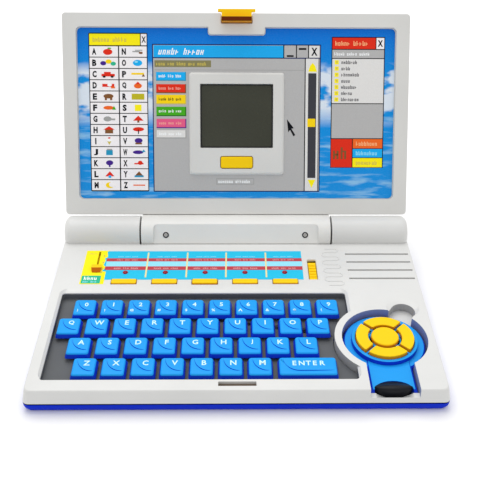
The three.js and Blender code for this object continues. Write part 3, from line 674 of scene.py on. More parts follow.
def add_shells():
    low, high = local_box("mouse_shell", DECK)
    radius = (high.x - low.x) / 2
    centre = Vector(((low.x + high.x) / 2, high.y - radius))

    def deep_wall(spot, normal):
        return spot.z < -RIM_DEPTH and abs(normal.z) < STEEP

    # The cradle's deep walls get the blue-grey: painted shade and painted reflection of the mouse.
    def in_cradle(spot, normal):
        near = (spot.xy - centre).length < radius + CRADLE_PLAY
        tail = abs(spot.x - centre.x) < radius and spot.y < centre.y - radius / 2
        return deep_wall(spot, normal) and (near or tail and normal.y > -STEEP)

    # The ring's outer wall below the deck gets the grey: painted shade.
    def behind_ring(spot, normal):
        away = (spot.xy - centre).length - radius - CRADLE_RING
        return deep_wall(spot, normal) and abs(away) < RING_WALL

    # The scoop's inner wall gets the grey: painted shade.
    def in_scoop(spot, normal):
        return deep_wall(spot, normal) and (spot.xy - SCOOP).length < SCOOP_RADIUS + NEAR

    # The rim's top faces get the near black: painted shadow in the seam's gap.
    def on_rim(spot, normal):
        return normal.z > 0.9 and spot.z > RIM_LOW

    def in_slot(spot, normal):
        across = SLIDER_SLOT["left"] - NEAR < spot.x < SLIDER_SLOT["right"] + NEAR
        along = SLIDER_SLOT["front"] - NEAR < spot.y < SLIDER_SLOT["back"] + NEAR
        return across and along and abs(normal.z) < STEEP

    top_slots = ["white", "recess_shade_reflection", "scoop_shade", "slot_lemon"]
    areas = ((1, in_cradle), (2, in_scoop), (2, behind_ring), (3, in_slot))
    moulded("top_case", 0.7, top_slots, "base", DECK, areas=areas)
    moulded("bottom_case", 0.6, ["navy", "seam_shadow"], "base", ROW, areas=((1, on_rim),))
    moulded("battery_door", 0.4, ["navy"], "base", ROW)
    moulded("keyboard_tray", 0.3, ["tray"], "base", DECK)
    moulded("main_board", 0.1, ["circuit"], "base", ROW)
    moulded("lid_front", 0.5, ["lid_white"], "lid", LID)
    moulded("lid_back", 0.8, ["back_white_lit"], "lid", LID)
    # The mouse shell's sides get the darker blue: painted shade.
    moulded("mouse_shell", 0.5, ["key_blue", "key_side_shade"], "mouse", DECK, 0.9)
    # Yellow tops, with the orange copy painted on their sides as shade.
    button_slots = ["yellow", "yellow_side_shade"]
    for name in ("up", "right", "down", "left", "centre"):
        node = "pad_" + name
        moulded(node, 0.7, button_slots, node, DECK, 0.35)
    for number in range(1, LAMPS + 1):
        node = f"activity_button_{number}"
        moulded(node, 0.8, button_slots, node, DECK, 0.35)
    moulded("power_switch", 0.25, ["yellow"], "power_switch", DECK)

    # The knob's faces towards the user get the dark orange-brown: painted shade.
    def faces_user(_, normal):
        return normal.y < -0.2 and abs(normal.x) < 0.6

    slider_slots = button_slots + ["slider_front_shade"]
    areas = ((2, faces_user),)
    moulded("mode_slider", 0.3, slider_slots, "mode_slider", DECK, 0.35, areas)
    moulded("picture_button", 0.5, button_slots, "picture_button", LID, 0.5)

    # The hook's front face gets the dark red-brown: painted shadow under the overhanging latch.
    def hook_front(spot, normal):
        return normal.z > 0.7 and spot.z > HOOK_FRONT

    latch_slots = button_slots + ["hook_shade"]
    areas = ((2, hook_front),)
    moulded("lid_latch", 0.4, latch_slots, "lid_latch", LID, 0.2, areas)


# ------------------------------------------------------------------ key caps

KEY_RINGS = [  # height, inset from the skirt, corner radius
    (-3.6, 0, 1.5),
    (-0.95, 0.88, 1.5),
    (-0.5, 1.08, 1.5),
    (-0.18, 1.38, 1.4),
    (0, 1.9, 1.3),
]
KEY_SIDE_RINGS = 2  # the rings below the rounded edge, in the darker blue that paints shade on the sides
KEY_WALL = 1.0
KEY_INNER_CORNER = 0.8
KEY_ROOF = -1.6
KEY_ROOF_INSET = 1.6
KEY_PULL = 0.15  # the front and back walls are set in less than the sides by this
KEY_STEM = {"half": 2.5, "corner": 0.5, "top": -1.4, "edge": 0.1}
KEY_HALF = 7.5  # half the width of a one-letter key
CORNER_POINTS = 5  # points that each corner of a ring has
CRESCENT = {"x": 5.4, "y": 6.0, "radius": 9.6, "depth": 0.5, "foot": 0.12, "steps": 16}
LEGEND = {"bottom": -0.55, "thick": 0.63, "bold": 0.02}
LETTER_AT = (1.4, 2.5, 3.9)  # x, y and height of a letter, a digit and the sign under the digit
DIGIT_AT = (1.0, 2.1, 3.6)
SHIFT_AT = (-4.0, -3.4, 2.4)
SHIFT_SIGNS = dict(zip("0123456789", ")!@#$%^&*("))
ENTER_X = (33.3, 37.5, 41.4, 45.2, 49.6)  # of each letter, on the deck
ENTER_Y = -130.0
ENTER_HEIGHT = 3.7
KEY_SLOTS = ["key_blue", "key_side_shade", "legend"]


def crescent_arc(half_x, inner_x, inner_y):
    """The step's line over the top of a key, from its back edge to its right edge."""
    x, y, radius = CRESCENT["x"] - (half_x - KEY_HALF), CRESCENT["y"], CRESCENT["radius"]
    start = math.pi - math.asin((inner_y - y) / radius)
    wide = half_x > KEY_HALF + 0.5
    end = 1.5 * math.pi if wide else 2 * math.pi - math.acos((inner_x - x) / radius)
    curved = CRESCENT["steps"] // 2 if wide else CRESCENT["steps"]
    points = []
    for i in range(curved + 1):
        angle = start + (end - start) * i / curved
        points.append((x + radius * math.cos(angle), y + radius * math.sin(angle)))
    straight = CRESCENT["steps"] - curved
    for i in range(1, straight + 1):
        points.append((x + (inner_x - x) * i / straight, y - radius))
    return points


def key_outline(across, along, corner, arc):
    """A ring of a key with a point on its back edge and one on its right edge, at the ends of the arc."""
    ring = rounded(-across, across, -along, along, corner)
    return ring[:CORNER_POINTS] + [(arc[0][0], along)] + ring[CORNER_POINTS:] + [(across, arc[-1][1])]


def key_walls(bm, half_x, half_y, arc):
    """The skirt, inside and outside, and the roof inside. Gives the vertices round the top."""
    rings = []
    for height, margin in ((KEY_ROOF, KEY_ROOF_INSET), (KEY_RINGS[0][0], KEY_WALL)):
        outline = key_outline(half_x - margin, half_y - margin, KEY_INNER_CORNER, arc)
        rings.append(lift(outline, height))
    for height, inset, corner in KEY_RINGS:
        along = half_y - max(0, inset - KEY_PULL)
        rings.append(lift(key_outline(half_x - inset, along, corner, arc), height))
    levels = [[bm.verts.new(p) for p in ring] for ring in rings]
    count = len(levels[0])
    bm.faces.new(levels[0]).material_index = 1
    for step, (low, high) in enumerate(zip(levels, levels[1:])):
        for i in range(count):
            j = (i + 1) % count
            face = bm.faces.new((low[i], low[j], high[j], high[i]))
            # Faces below the rounded edge get the darker blue: painted shade on the sides.
            face.material_index = 1 if step <= KEY_SIDE_RINGS else 0
    return levels[-1]


def key_solid(half_x, half_y, bottom):
    """An open-bottomed cap with its stem, centred on the origin. Its top has a raised part at the upper
    right; the rest slopes down to the foot of that step."""
    bm = bmesh.new()
    inset = KEY_RINGS[-1][1]
    arc = crescent_arc(half_x, half_x - inset, half_y - inset + KEY_PULL)
    edge = key_walls(bm, half_x, half_y, arc)
    start, end = edge[CORNER_POINTS], edge[-1]
    steps = CRESCENT["steps"]
    raised = [start] + [bm.verts.new((x, y, 0)) for x, y in arc[1:-1]] + [end]
    foot = [start]
    for i in range(1, steps):
        x, y = arc[i]
        drop = CRESCENT["depth"] * math.sin(math.pi * i / steps) ** 0.5
        foot.append(bm.verts.new((x - CRESCENT["foot"], y - CRESCENT["foot"], -drop)))
    foot.append(end)
    bm.faces.new([end] + edge[:CORNER_POINTS] + raised[:-1])
    outer = edge[CORNER_POINTS:]
    for i in range(steps):
        # The step's wall gets the darker blue as well: a painted shade line along the crescent.
        for first, second, material in ((outer, foot, 0), (foot, raised, 1)):
            corners = [first[i], first[i + 1], second[i + 1], second[i]]
            face = bm.faces.new([v for k, v in enumerate(corners) if v not in corners[:k]])
            face.material_index = material

    def stem(inset):
        half = KEY_STEM["half"]
        return rounded(-half, half, -half, half, KEY_STEM["corner"])

    lofted(bm, domed(stem, bottom, KEY_STEM["top"], KEY_STEM["edge"]))
    return bm


def add_legend(bm, sign, x, y, height):
    add_text(bm, sign, x, y, LEGEND["bottom"], height, LEGEND["thick"], 2, LEGEND["bold"])


def add_keys():
    nodes = [node for node in sorted(frame["nodes"]) if node.startswith("key_")]
    for node in nodes:
        name = node.removeprefix("key_")
        sign = name.upper()
        low, high = local_box(node, DECK)
        middle = (low + high) / 2
        bm = key_solid((high.x - low.x) / 2, (high.y - low.y) / 2, low.z)
        if sign == "ENTER":
            for x, letter in zip(ENTER_X, sign):
                add_legend(bm, letter, x - middle.x, ENTER_Y - middle.y, ENTER_HEIGHT)
        elif sign in SHIFT_SIGNS:
            add_legend(bm, sign, *DIGIT_AT)
            add_legend(bm, SHIFT_SIGNS[sign], *SHIFT_AT)
        else:
            add_legend(bm, sign, *LETTER_AT)
        where = DECK @ Matrix.Translation((middle.x, middle.y, 0))
        add_piece(f"keycap_{name}", bm, where, KEY_SLOTS, node, (node,))


# ------------------------------------------------------------------ lamps, screws, feet, grip and speaker

LAMPS = 5
LAMP = {"first": -74.1, "pitch": 26.5, "y": -44.4, "radius": 1.75, "low": -2.6, "rise": 1.2, "steps": 6}


def turned(x, y, profile, steps=32):
    """Rings of a round solid from pairs of radius and height."""
    return [lift(oval(x, y, radius, radius, steps), z) for radius, z in profile]


def disc_rings(radius, low, high, edge):
    return domed(lambda inset: oval(0, 0, radius - inset, radius - inset), low, high, edge)


def add_lamps():
    for number in range(LAMPS):
        profile = [(LAMP["radius"], LAMP["low"])]
        for i in range(LAMP["steps"]):
            angle = i / LAMP["steps"] * math.pi / 2
            profile.append((LAMP["radius"] * math.cos(angle), LAMP["rise"] * math.sin(angle)))
        bm = bmesh.new()
        lofted(bm, turned(LAMP["first"] + number * LAMP["pitch"], LAMP["y"], profile, 24))
        add_piece(f"lamp_{number + 1}", bm, DECK, ["lamp"], "base", sharp=60)


def screw_head(radius, height):
    """A pan head with a cross recess, its top at z = height, its middle at the origin."""
    bm = bmesh.new()
    lofted(bm, disc_rings(radius, 0, height, height * 0.6))
    arm, half = radius * 0.62, radius * 0.15
    cutters = []
    for x, y in ((arm, half), (half, arm)):
        floor = rounded(-x * 0.7, x * 0.7, -y * 0.7, y * 0.7, half * 0.3, 2)
        mouth = rounded(-x, x, -y, y, half * 0.3, 2)
        cutter = bmesh.new()
        lofted(cutter, [lift(floor, height * 0.35), lift(mouth, height + 0.01), lift(mouth, height + 1)])
        cutters.append(cutter)
    return carved(bm, *cutters)


def add_screw(name, where, radius, height, body):
    add_piece(name, screw_head(radius, height), where, ["steel"], body)


BARREL_SCREWS = {"x": (-49.3, 47.7), "u": -0.8, "radius": 1.35, "height": 0.45, "raise": 0.2, "turn": 0.5}
BARREL_SEAT = ((2.45, 0.22, 0), (2.15, 0.26, 1))  # radius, height and material of the rim and of the hole; the hole is a dark disc that paints its shade
BARREL_FLAT = 9.8
FEET = {"x": 102, "front": -66, "back": 62}
FOOT_PROFILE = ((6.2, 0.78), (6.2, 0.3), (6.1, 0.12), (5.85, 0.02), (5.0, 0.0), (4.6, 0.2))
CASE_SCREWS = {"x": 88, "front": -70, "back": 55, "radius": 2.6, "top": 1.3, "height": 0.9, "turn": 0.7}
DOOR_SCREW = {"inset": 5.65, "radius": 2.2, "top": 1.0, "height": 0.7}
UPSIDE_DOWN = Matrix.Rotation(math.pi, 4, "X")


def four_corners(spots):
    """Numbers the four places of feet or screws: left front, left back, right front, right back."""
    places = [(side * spots["x"], spots[end]) for side in (-1, 1) for end in ("front", "back")]
    return enumerate(places, 1)


def add_screws_and_feet():
    for number, x in enumerate(BARREL_SCREWS["x"], 1):
        bm = bmesh.new()
        for radius, height, material in BARREL_SEAT:
            lofted(bm, disc_rings(radius, -0.3, height, 0.1), material)
        spot = LID @ Matrix.Translation((x, BARREL_SCREWS["u"], BARREL_FLAT))
        add_piece(f"barrel_screw_seat_{number}", bm, spot, ["white", "chip"], "lid")
        spot = spot @ Matrix.Translation((0, 0, BARREL_SCREWS["raise"]))
        spot = spot @ Matrix.Rotation(BARREL_SCREWS["turn"] * number, 4, "Z")
        add_screw(f"barrel_screw_{number}", spot, BARREL_SCREWS["radius"], BARREL_SCREWS["height"], "lid")
    for number, (x, y) in four_corners(FEET):
        bm = bmesh.new()
        lofted(bm, turned(x, y, FOOT_PROFILE))
        add_piece(f"foot_{number}", bm, ROW, ["black_rubber"], "base")
    for number, (x, y) in four_corners(CASE_SCREWS):
        spot = ROW @ Matrix.Translation((x, y, CASE_SCREWS["top"])) @ UPSIDE_DOWN
        spot = spot @ Matrix.Rotation(CASE_SCREWS["turn"] * number, 4, "Z")
        add_screw(f"case_screw_{number}", spot, CASE_SCREWS["radius"], CASE_SCREWS["height"], "base")
    low, high = local_box("battery_door", ROW)
    place_on_door = ((low.x + high.x) / 2, low.y + DOOR_SCREW["inset"], DOOR_SCREW["top"])
    spot = ROW @ Matrix.Translation(place_on_door)
    add_screw("door_screw", spot @ UPSIDE_DOWN, DOOR_SCREW["radius"], DOOR_SCREW["height"], "base")


GRIP = {"x": 89.2, "y": -146.1, "half_x": 10.9, "half_y": 4.8, "steps": 40}
GRIP_TOP = {"back": -3.9, "ridge": -2.4, "side": -3.3, "rise": 2.6, "steps": 6}
GRIP_FRONT = {"level": -3.0, "depth": 5.1}  # the lower edge of its front face, an arc
GRIP_FLOOR = -8.1  # where it lies in the mouse's tail
TAIL_END = -148.8


def grip_column(share):
    """The grip's outline in a plane across it, as (y, z) points. share is 1 in the middle of the grip and
    small at its two ends."""
    back = GRIP["y"] + GRIP["half_y"] * share
    ridge = GRIP["y"] + GRIP_TOP["ridge"] * share
    front = GRIP["y"] - GRIP["half_y"] * share
    crest = GRIP_TOP["side"] + GRIP_TOP["rise"] * share
    under = GRIP_FRONT["level"] - GRIP_FRONT["depth"] * share
    below = under if front < TAIL_END else GRIP_FLOOR
    rest = min(back - 0.1, TAIL_END + 0.1)
    top = GRIP_TOP["back"]
    column = [(back - 0.2, GRIP_FLOOR), (back, top - 0.6), (back - 0.25, top - 0.1)]
    for k in range(1, GRIP_TOP["steps"]):
        part = k / GRIP_TOP["steps"]
        bend = part * part * (3 - 2 * part)
        column.append((back + (ridge - back) * part, top + (crest - top) * bend))
    column += [
        (ridge, crest),
        (ridge + (front - ridge) * 0.7, crest - 0.25 * share),
        (front + 0.1, crest - 0.9 * share),
        (front, crest - 1.5 * share),
        (front + 0.25, min(crest - 1.6 * share, below)),
        (rest, below),
        (rest, GRIP_FLOOR),
    ]
    return column


def add_grip():
    """The black grip: an oval cushion that rises to a ridge, then falls to an arched front face."""
    rings = []
    for i in range(GRIP["steps"] + 1):
        angle = math.pi * i / GRIP["steps"]
        x = GRIP["x"] - GRIP["half_x"] * math.cos(angle)
        rings.append([(x, y, z) for y, z in grip_column(max(0.02, math.sin(angle)))])
    bm = bmesh.new()
    lofted(bm, rings)
    add_piece("mouse_grip", bm, DECK, ["black_rubber"], "mouse", sharp=50)


LATCH_WELL = {"half_x": 12.3, "front": -149.5, "back": -144.42, "floor": -6.5, "top": -2.35, "wall": 0.45}


def add_latch_well():
    """The box under the slot in the front rim, which the latch's hook goes into."""
    half, front, back, floor, top, wall = LATCH_WELL.values()
    outer = rounded(-half, half, front, back, 0.6)
    inner = rounded(wall - half, half - wall, front + wall, back - 0.05, 0.4)
    bm = bmesh.new()
    lofted(bm, [lift(inner, floor + wall), lift(inner, top), lift(outer, top), lift(outer, floor)])
    # Its tan colour is painted shade: the white walls in the slot's shadow.
    add_piece("latch_well", bm, DECK, ["well_shade"], "base")


SPEAKER = {"x": 96.6, "y": -37.4, "top": -3.2, "steps": 48}
# Pairs of radius and height over the speaker's top.
SPEAKER_FRAME = ((13, -6), (16.5, -3), (17, -0.3), (16.7, 0), (15.4, 0), (15.2, -0.5))
SPEAKER_CONE = ((15.1, -1.4), (15.1, -0.4), (14.4, 0), (13.4, -0.5), (6, -1.2))
SPEAKER_DOME = ((5.5, -1.1), (4, -0.6), (2, -0.3), (0.6, -0.25))
SPEAKER_CLOTH = {"left": 73, "right": 119, "front": -53, "back": -22, "low": -2.65, "high": -2.35}


def add_speaker():
    for name, profile, material, finish, sharp in (
        ("speaker_frame", SPEAKER_FRAME, "steel", "steel", 32),
        ("speaker_cone", SPEAKER_CONE + SPEAKER_DOME, "cone", "black_grip", 60),
    ):
        lowered = [(radius, SPEAKER["top"] + z) for radius, z in profile]
        bm = bmesh.new()
        lofted(bm, turned(SPEAKER["x"], SPEAKER["y"], lowered, SPEAKER["steps"]))
        add_piece(name, bm, DECK, [material], "base", sharp=sharp)
    left, right, front, back, low, high = SPEAKER_CLOTH.values()
    bm = bmesh.new()
    slab(bm, rounded(left, right, front, back, 2), low, high)
    add_piece("speaker_cloth", bm, DECK, ["cloth"], "base")


# ------------------------------------------------------------------ the raised snake on the right hump

SNAKE = {"left": 60.6, "right": 69.4, "first": -18.1, "pitch": 8.92, "gap": 4.1, "loops": 5}
SNAKE_DRIFT = 1.2  # the right side wanders outwards by this from the first loop to the last
SNAKE_HALF = 0.45
SNAKE_FOOT = -0.3
SNAKE_RISE = 0.35
SNAKE_SHOULDER = 0.15


def offset_path(path, distance):
    """The path's points, moved sideways."""
    points = []
    for i, (x, y) in enumerate(path):
        before = path[max(0, i - 1)]
        after = path[min(len(path) - 1, i + 1)]
        run = Vector((after[0] - before[0], after[1] - before[1])).normalized()
        points.append((x - run.y * distance, y + run.x * distance))
    return points


def ribbon(bm, path):
    """A raised line with rounded shoulders along a path of (x, y) points."""
    rings = []
    for half, z in (
        (SNAKE_HALF, SNAKE_FOOT),
        (SNAKE_HALF, SNAKE_RISE - SNAKE_SHOULDER),
        (SNAKE_HALF * 0.6, SNAKE_RISE),
    ):
        rings.append(lift(offset_path(path, half) + list(reversed(offset_path(path, -half))), z))
    lofted(bm, rings)


def half_turn(x, y, radius, way):
    """Points from the top of a circle to its bottom, round its left side (way 1) or its right (-1)."""
    angles = [math.pi / 2 + way * i / 8 * math.pi for i in range(9)]
    return [(x + radius * math.cos(angle), y + radius * math.sin(angle)) for angle in angles]


def add_snake():
    bm = bmesh.new()
    left, gap = SNAKE["left"], SNAKE["gap"]
    for loop in range(SNAKE["loops"]):
        top = SNAKE["first"] - loop * SNAKE["pitch"]
        bottom = top - gap
        right = SNAKE["right"] + SNAKE_DRIFT * loop / SNAKE["loops"]
        bend = half_turn(right - gap / 2, bottom + gap / 2, gap / 2, -1)
        ribbon(bm, [(left, top), *bend, (left, bottom)])
        if loop < SNAKE["loops"] - 1:
            radius = (SNAKE["pitch"] - gap) / 2
            ribbon(bm, half_turn(left, bottom - radius, radius, 1))
    add_piece("raised_snake", bm, DECK, ["white"], "base", sharp=60)


# ------------------------------------------------------------------ printed labels

LAYER = 0.03


class Print:
    """Printed shapes on a label. Each colour is a thin layer of its own, one above the other."""

    def __init__(self, base):
        self.bm = bmesh.new()
        self.base = base
        self.slots = []
        self.random = random.Random(5)

    def ink(self, colour):
        if colour not in self.slots:
            self.slots.append(colour)
        return self.slots.index(colour)

    def shape(self, points, layer, colour):
        slab(self.bm, points, self.base - LAYER, self.base + LAYER * layer, self.ink(colour))

    def box(self, left, right, low, high, layer, colour, radius=0.0):
        if radius:
            self.shape(rounded(left, right, low, high, radius), layer, colour)
        else:
            self.shape([(left, low), (right, low), (right, high), (left, high)], layer, colour)

    def boxes(self, *rows):
        for row in rows:
            self.box(*row)

    def sheet(self, outline, hole, layer, colour):
        film(self.bm, outline, [hole], self.base - LAYER, self.base + LAYER * layer, self.ink(colour))

    def sign(self, text, x, y, height, layer, colour, bold, width):
        thick = LAYER * (layer + 1)
        add_text(self.bm, text, x, y, self.base - LAYER, height, thick, self.ink(colour), bold, width)

    def writing(self, left, y, length, height, layer, colour, words=2, slant=0.0):
        """Made-up strokes that look like a line of small writing and spell nothing."""
        step = height * 0.66
        count = max(2, int(length / step))
        spaces = {int((k + 1) * count / words) for k in range(words - 1)}
        for i in range(count):
            if i not in spaces:
                self.stroke_letter(left + i * step, y, step * 0.72, height, layer, colour, slant)

    def stroke_letter(self, x, y, width, height, layer, colour, slant):
        tall = height * self.random.choice((1.0, 0.72, 0.72, 0.72, 1.0))
        thick = height * 0.17
        bars = [(0, thick, 0, tall)]
        form = self.random.randrange(5)
        if form != 1:
            bars.append((width - thick, width, 0, height * 0.72))
        if form in (0, 2):
            bars.append((thick, width - thick, height * 0.6, height * 0.72))
        if form in (2, 3):
            bars.append((thick, width - thick, 0, thick))
        if form in (1, 4):
            bars.append((thick, width * 0.9, height * 0.3, height * 0.3 + thick))
        for left, right, low, high in bars:
            points = [(left, low), (right, low), (right, high), (left, high)]
            leaned = [(x + px + slant * py, y - height / 2 + py) for px, py in points]
            self.shape(leaned, layer, colour)


def film(bm, outline, holes, low, high, material=0):
    """A thin sheet with holes."""
    loops = [outline, *holes]
    flat = [p for loop in loops for p in loop]
    triangles = tessellate_polygon([[Vector((x, y, 0)) for x, y in loop] for loop in loops])
    bottom = [bm.verts.new((x, y, low)) for x, y in flat]
    top = [bm.verts.new((x, y, high)) for x, y in flat]
    faces = []
    for a, b, c in triangles:
        faces.append(bm.faces.new((top[a], top[b], top[c])))
        faces.append(bm.faces.new((bottom[c], bottom[b], bottom[a])))
    start = 0
    for loop in loops:
        for i in range(len(loop)):
            j = (i + 1) % len(loop)
            a, b = start + i, start + j
            faces.append(bm.faces.new((bottom[a], bottom[b], top[b], top[a])))
        start += len(loop)
    for face in faces:
        face.material_index = material


# Boxes are given as left, right, low, high, layer and ink. A line of writing is given as left, middle
# height, length, letter height, layer and ink.

LABEL_UNDERSIDE = 0.01
DECK_LABEL_TOP = 0.09
SLIDER_SLOT = {"left": -94.3, "right": -92.9, "front": -42.5, "back": -21.4}
YELLOW_BLOCK = [
    (-102.9, -56.6), (-87.2, -56.6), (-87.2, -43.5), (-89.9, -43.0), (-87.8, -38.7), (-89.6, -36.2),
    (-88.7, -31.3), (-89.6, -28.7), (-87.7, -27.2), (-88.6, -21.1), (-86.9, -20.1), (-102.7, -20.1),
]
DIVIDERS = {"x": (-60.4, -33.6, -7.3, 19.6), "half": 0.55, "front": -49.6, "back": -22.4}
DECK_LABEL = {"left": -87.0, "right": 44.1, "front": -52.0, "back": -20.7}
BANDS = (  # front, back, layer, ink, how far it runs under the yellow block
    (-32.3, -28.8, 2, "band_red", 1.2),
    (-41.7, -37.8, 2, "band_red", 1.2),
    (-37.8, -32.3, 1, "pale_cyan", 1.0),
)
CAPTIONS = (  # half the length, middle height, letter height, layer, ink
    (7, -26.9, 1.2, 1, "pale_cyan"),
    (7.5, -30.5, 1.7, 3, "band_text"),
    (9.5, -35.0, 1.8, 2, "field_light"),
    (8.5, -39.8, 1.9, 3, "band_text"),
)
SLIDER_MARKS = (-26.0, -33.5, -40.6, -44.5)
UNDERLAP = 3.2  # the blue field runs this far under the yellow block
BUTTON_BACK = -51.3  # the label is notched for the activity buttons as far as this
NOTCH_INSET = 0.6  # a notch is narrower at each side than a button with its hidden flange by this
LAMP_HOLE = LAMP["radius"] + 0.1


def add_deck_label():
    label = Print(DECK_LABEL_TOP)
    holes = []
    left, right, front, back = DECK_LABEL.values()
    field = [(right, front), (right, back), (left - UNDERLAP, back), (left - UNDERLAP, front)]
    for i in range(LAMPS):
        holes.append(oval(LAMP["first"] + i * LAMP["pitch"], LAMP["y"], LAMP_HOLE, LAMP_HOLE, 24))
        low, high = local_box(f"activity_button_{i + 1}", DECK)
        start, end = low.x + NOTCH_INSET, high.x - NOTCH_INSET
        field += [(start, front), (start, BUTTON_BACK), (end, BUTTON_BACK), (end, front)]
    film(label.bm, field, holes, LABEL_UNDERSIDE, DECK_LABEL_TOP, label.ink("field_cyan"))
    x_low, x_high, y_low, y_high = SLIDER_SLOT.values()
    slot = [(x_low, y_low), (x_high, y_low), (x_high, y_high), (x_low, y_high)]
    film(label.bm, YELLOW_BLOCK, [slot], LABEL_UNDERSIDE, DECK_LABEL_TOP + LAYER, label.ink("lemon"))
    for low, high, layer, colour, under in BANDS:
        label.box(left - under, right, low, high, layer, colour)
    for x in DIVIDERS["x"]:
        half = DIVIDERS["half"]
        label.box(x - half, x + half, DIVIDERS["front"], DIVIDERS["back"], 3, "cream")
    edges = [left, *DIVIDERS["x"], right]
    for start, end in zip(edges, edges[1:]):
        for half, y, height, layer, colour in CAPTIONS:
            label.writing((start + end) / 2 - half, y, 2 * half, height, layer, colour, 3)
    label.writing(-100.5, -23.6, 5.4, 1.3, 2, "gold", 1)
    for y in SLIDER_MARKS:
        label.box(-90.6, -89.7, y - 0.9, y + 0.9, 2, "gold")
    label.box(-102.2, -89.6, -56.0, -47.8, 2, "mint", 0.4)
    label.writing(-100.6, -50.6, 9.8, 3.4, 3, "white_ink", 1)
    label.writing(-101.0, -54.1, 10.2, 2.0, 3, "pale_cyan")
    add_piece("activity_label", label.bm, DECK, label.slots, "base")


LID_LABEL = {"x": 110.1, "low": 24.2, "high": 141.7, "corner": 3, "under": -1.79, "top": -1.64}
LID_TAB = {"x": 20.0, "low": 136.8, "corner": 2}  # the label's edge steps down under the latch
BEZEL = rounded(-33.3, 33.3, 40.7, 111.8, 2.1)
CHART_ROWS = 13
CHART_COLUMNS = ((-101.8, -82.1), (-81.3, -62.3))
CHART_TOP = 129.3
CHART_PITCH = (CHART_TOP - 29.4) / CHART_ROWS
LETTERS = "ABCDEFGHIJKLMNOPQRSTUVWXYZ"


def lid_label_outline():
    across, top = LID_LABEL["x"], LID_LABEL["high"]
    whole = rounded(-across, across, LID_LABEL["low"], top, LID_LABEL["corner"])
    tab = rounded(-LID_TAB["x"], LID_TAB["x"], LID_TAB["low"], top + 5, LID_TAB["corner"])
    notch = [p for p in reversed(tab) if p[1] < top]
    notch = [(LID_TAB["x"], top), *notch, (-LID_TAB["x"], top)]
    return whole[:CORNER_POINTS] + notch + whole[CORNER_POINTS:]


def add_lid_label():
    label = Print(LID_LABEL["top"])
    film(label.bm, lid_label_outline(), [BEZEL], LID_LABEL["under"], LID_LABEL["top"], label.ink("sky"))
    print_chart(label)
    print_main_window(label)
    print_right_window(label)
    uv = label.bm.loops.layers.uv.verify()
    height = LID_LABEL["high"] - LID_LABEL["low"]
    for face in label.bm.faces:
        for loop in face.loops:
            spot = loop.vert.co
            loop[uv].uv = (spot.x / (2 * LID_LABEL["x"]) + 0.5, (spot.y - LID_LABEL["low"]) / height)
    add_piece("lid_picture", label.bm, LID, label.slots, "lid")


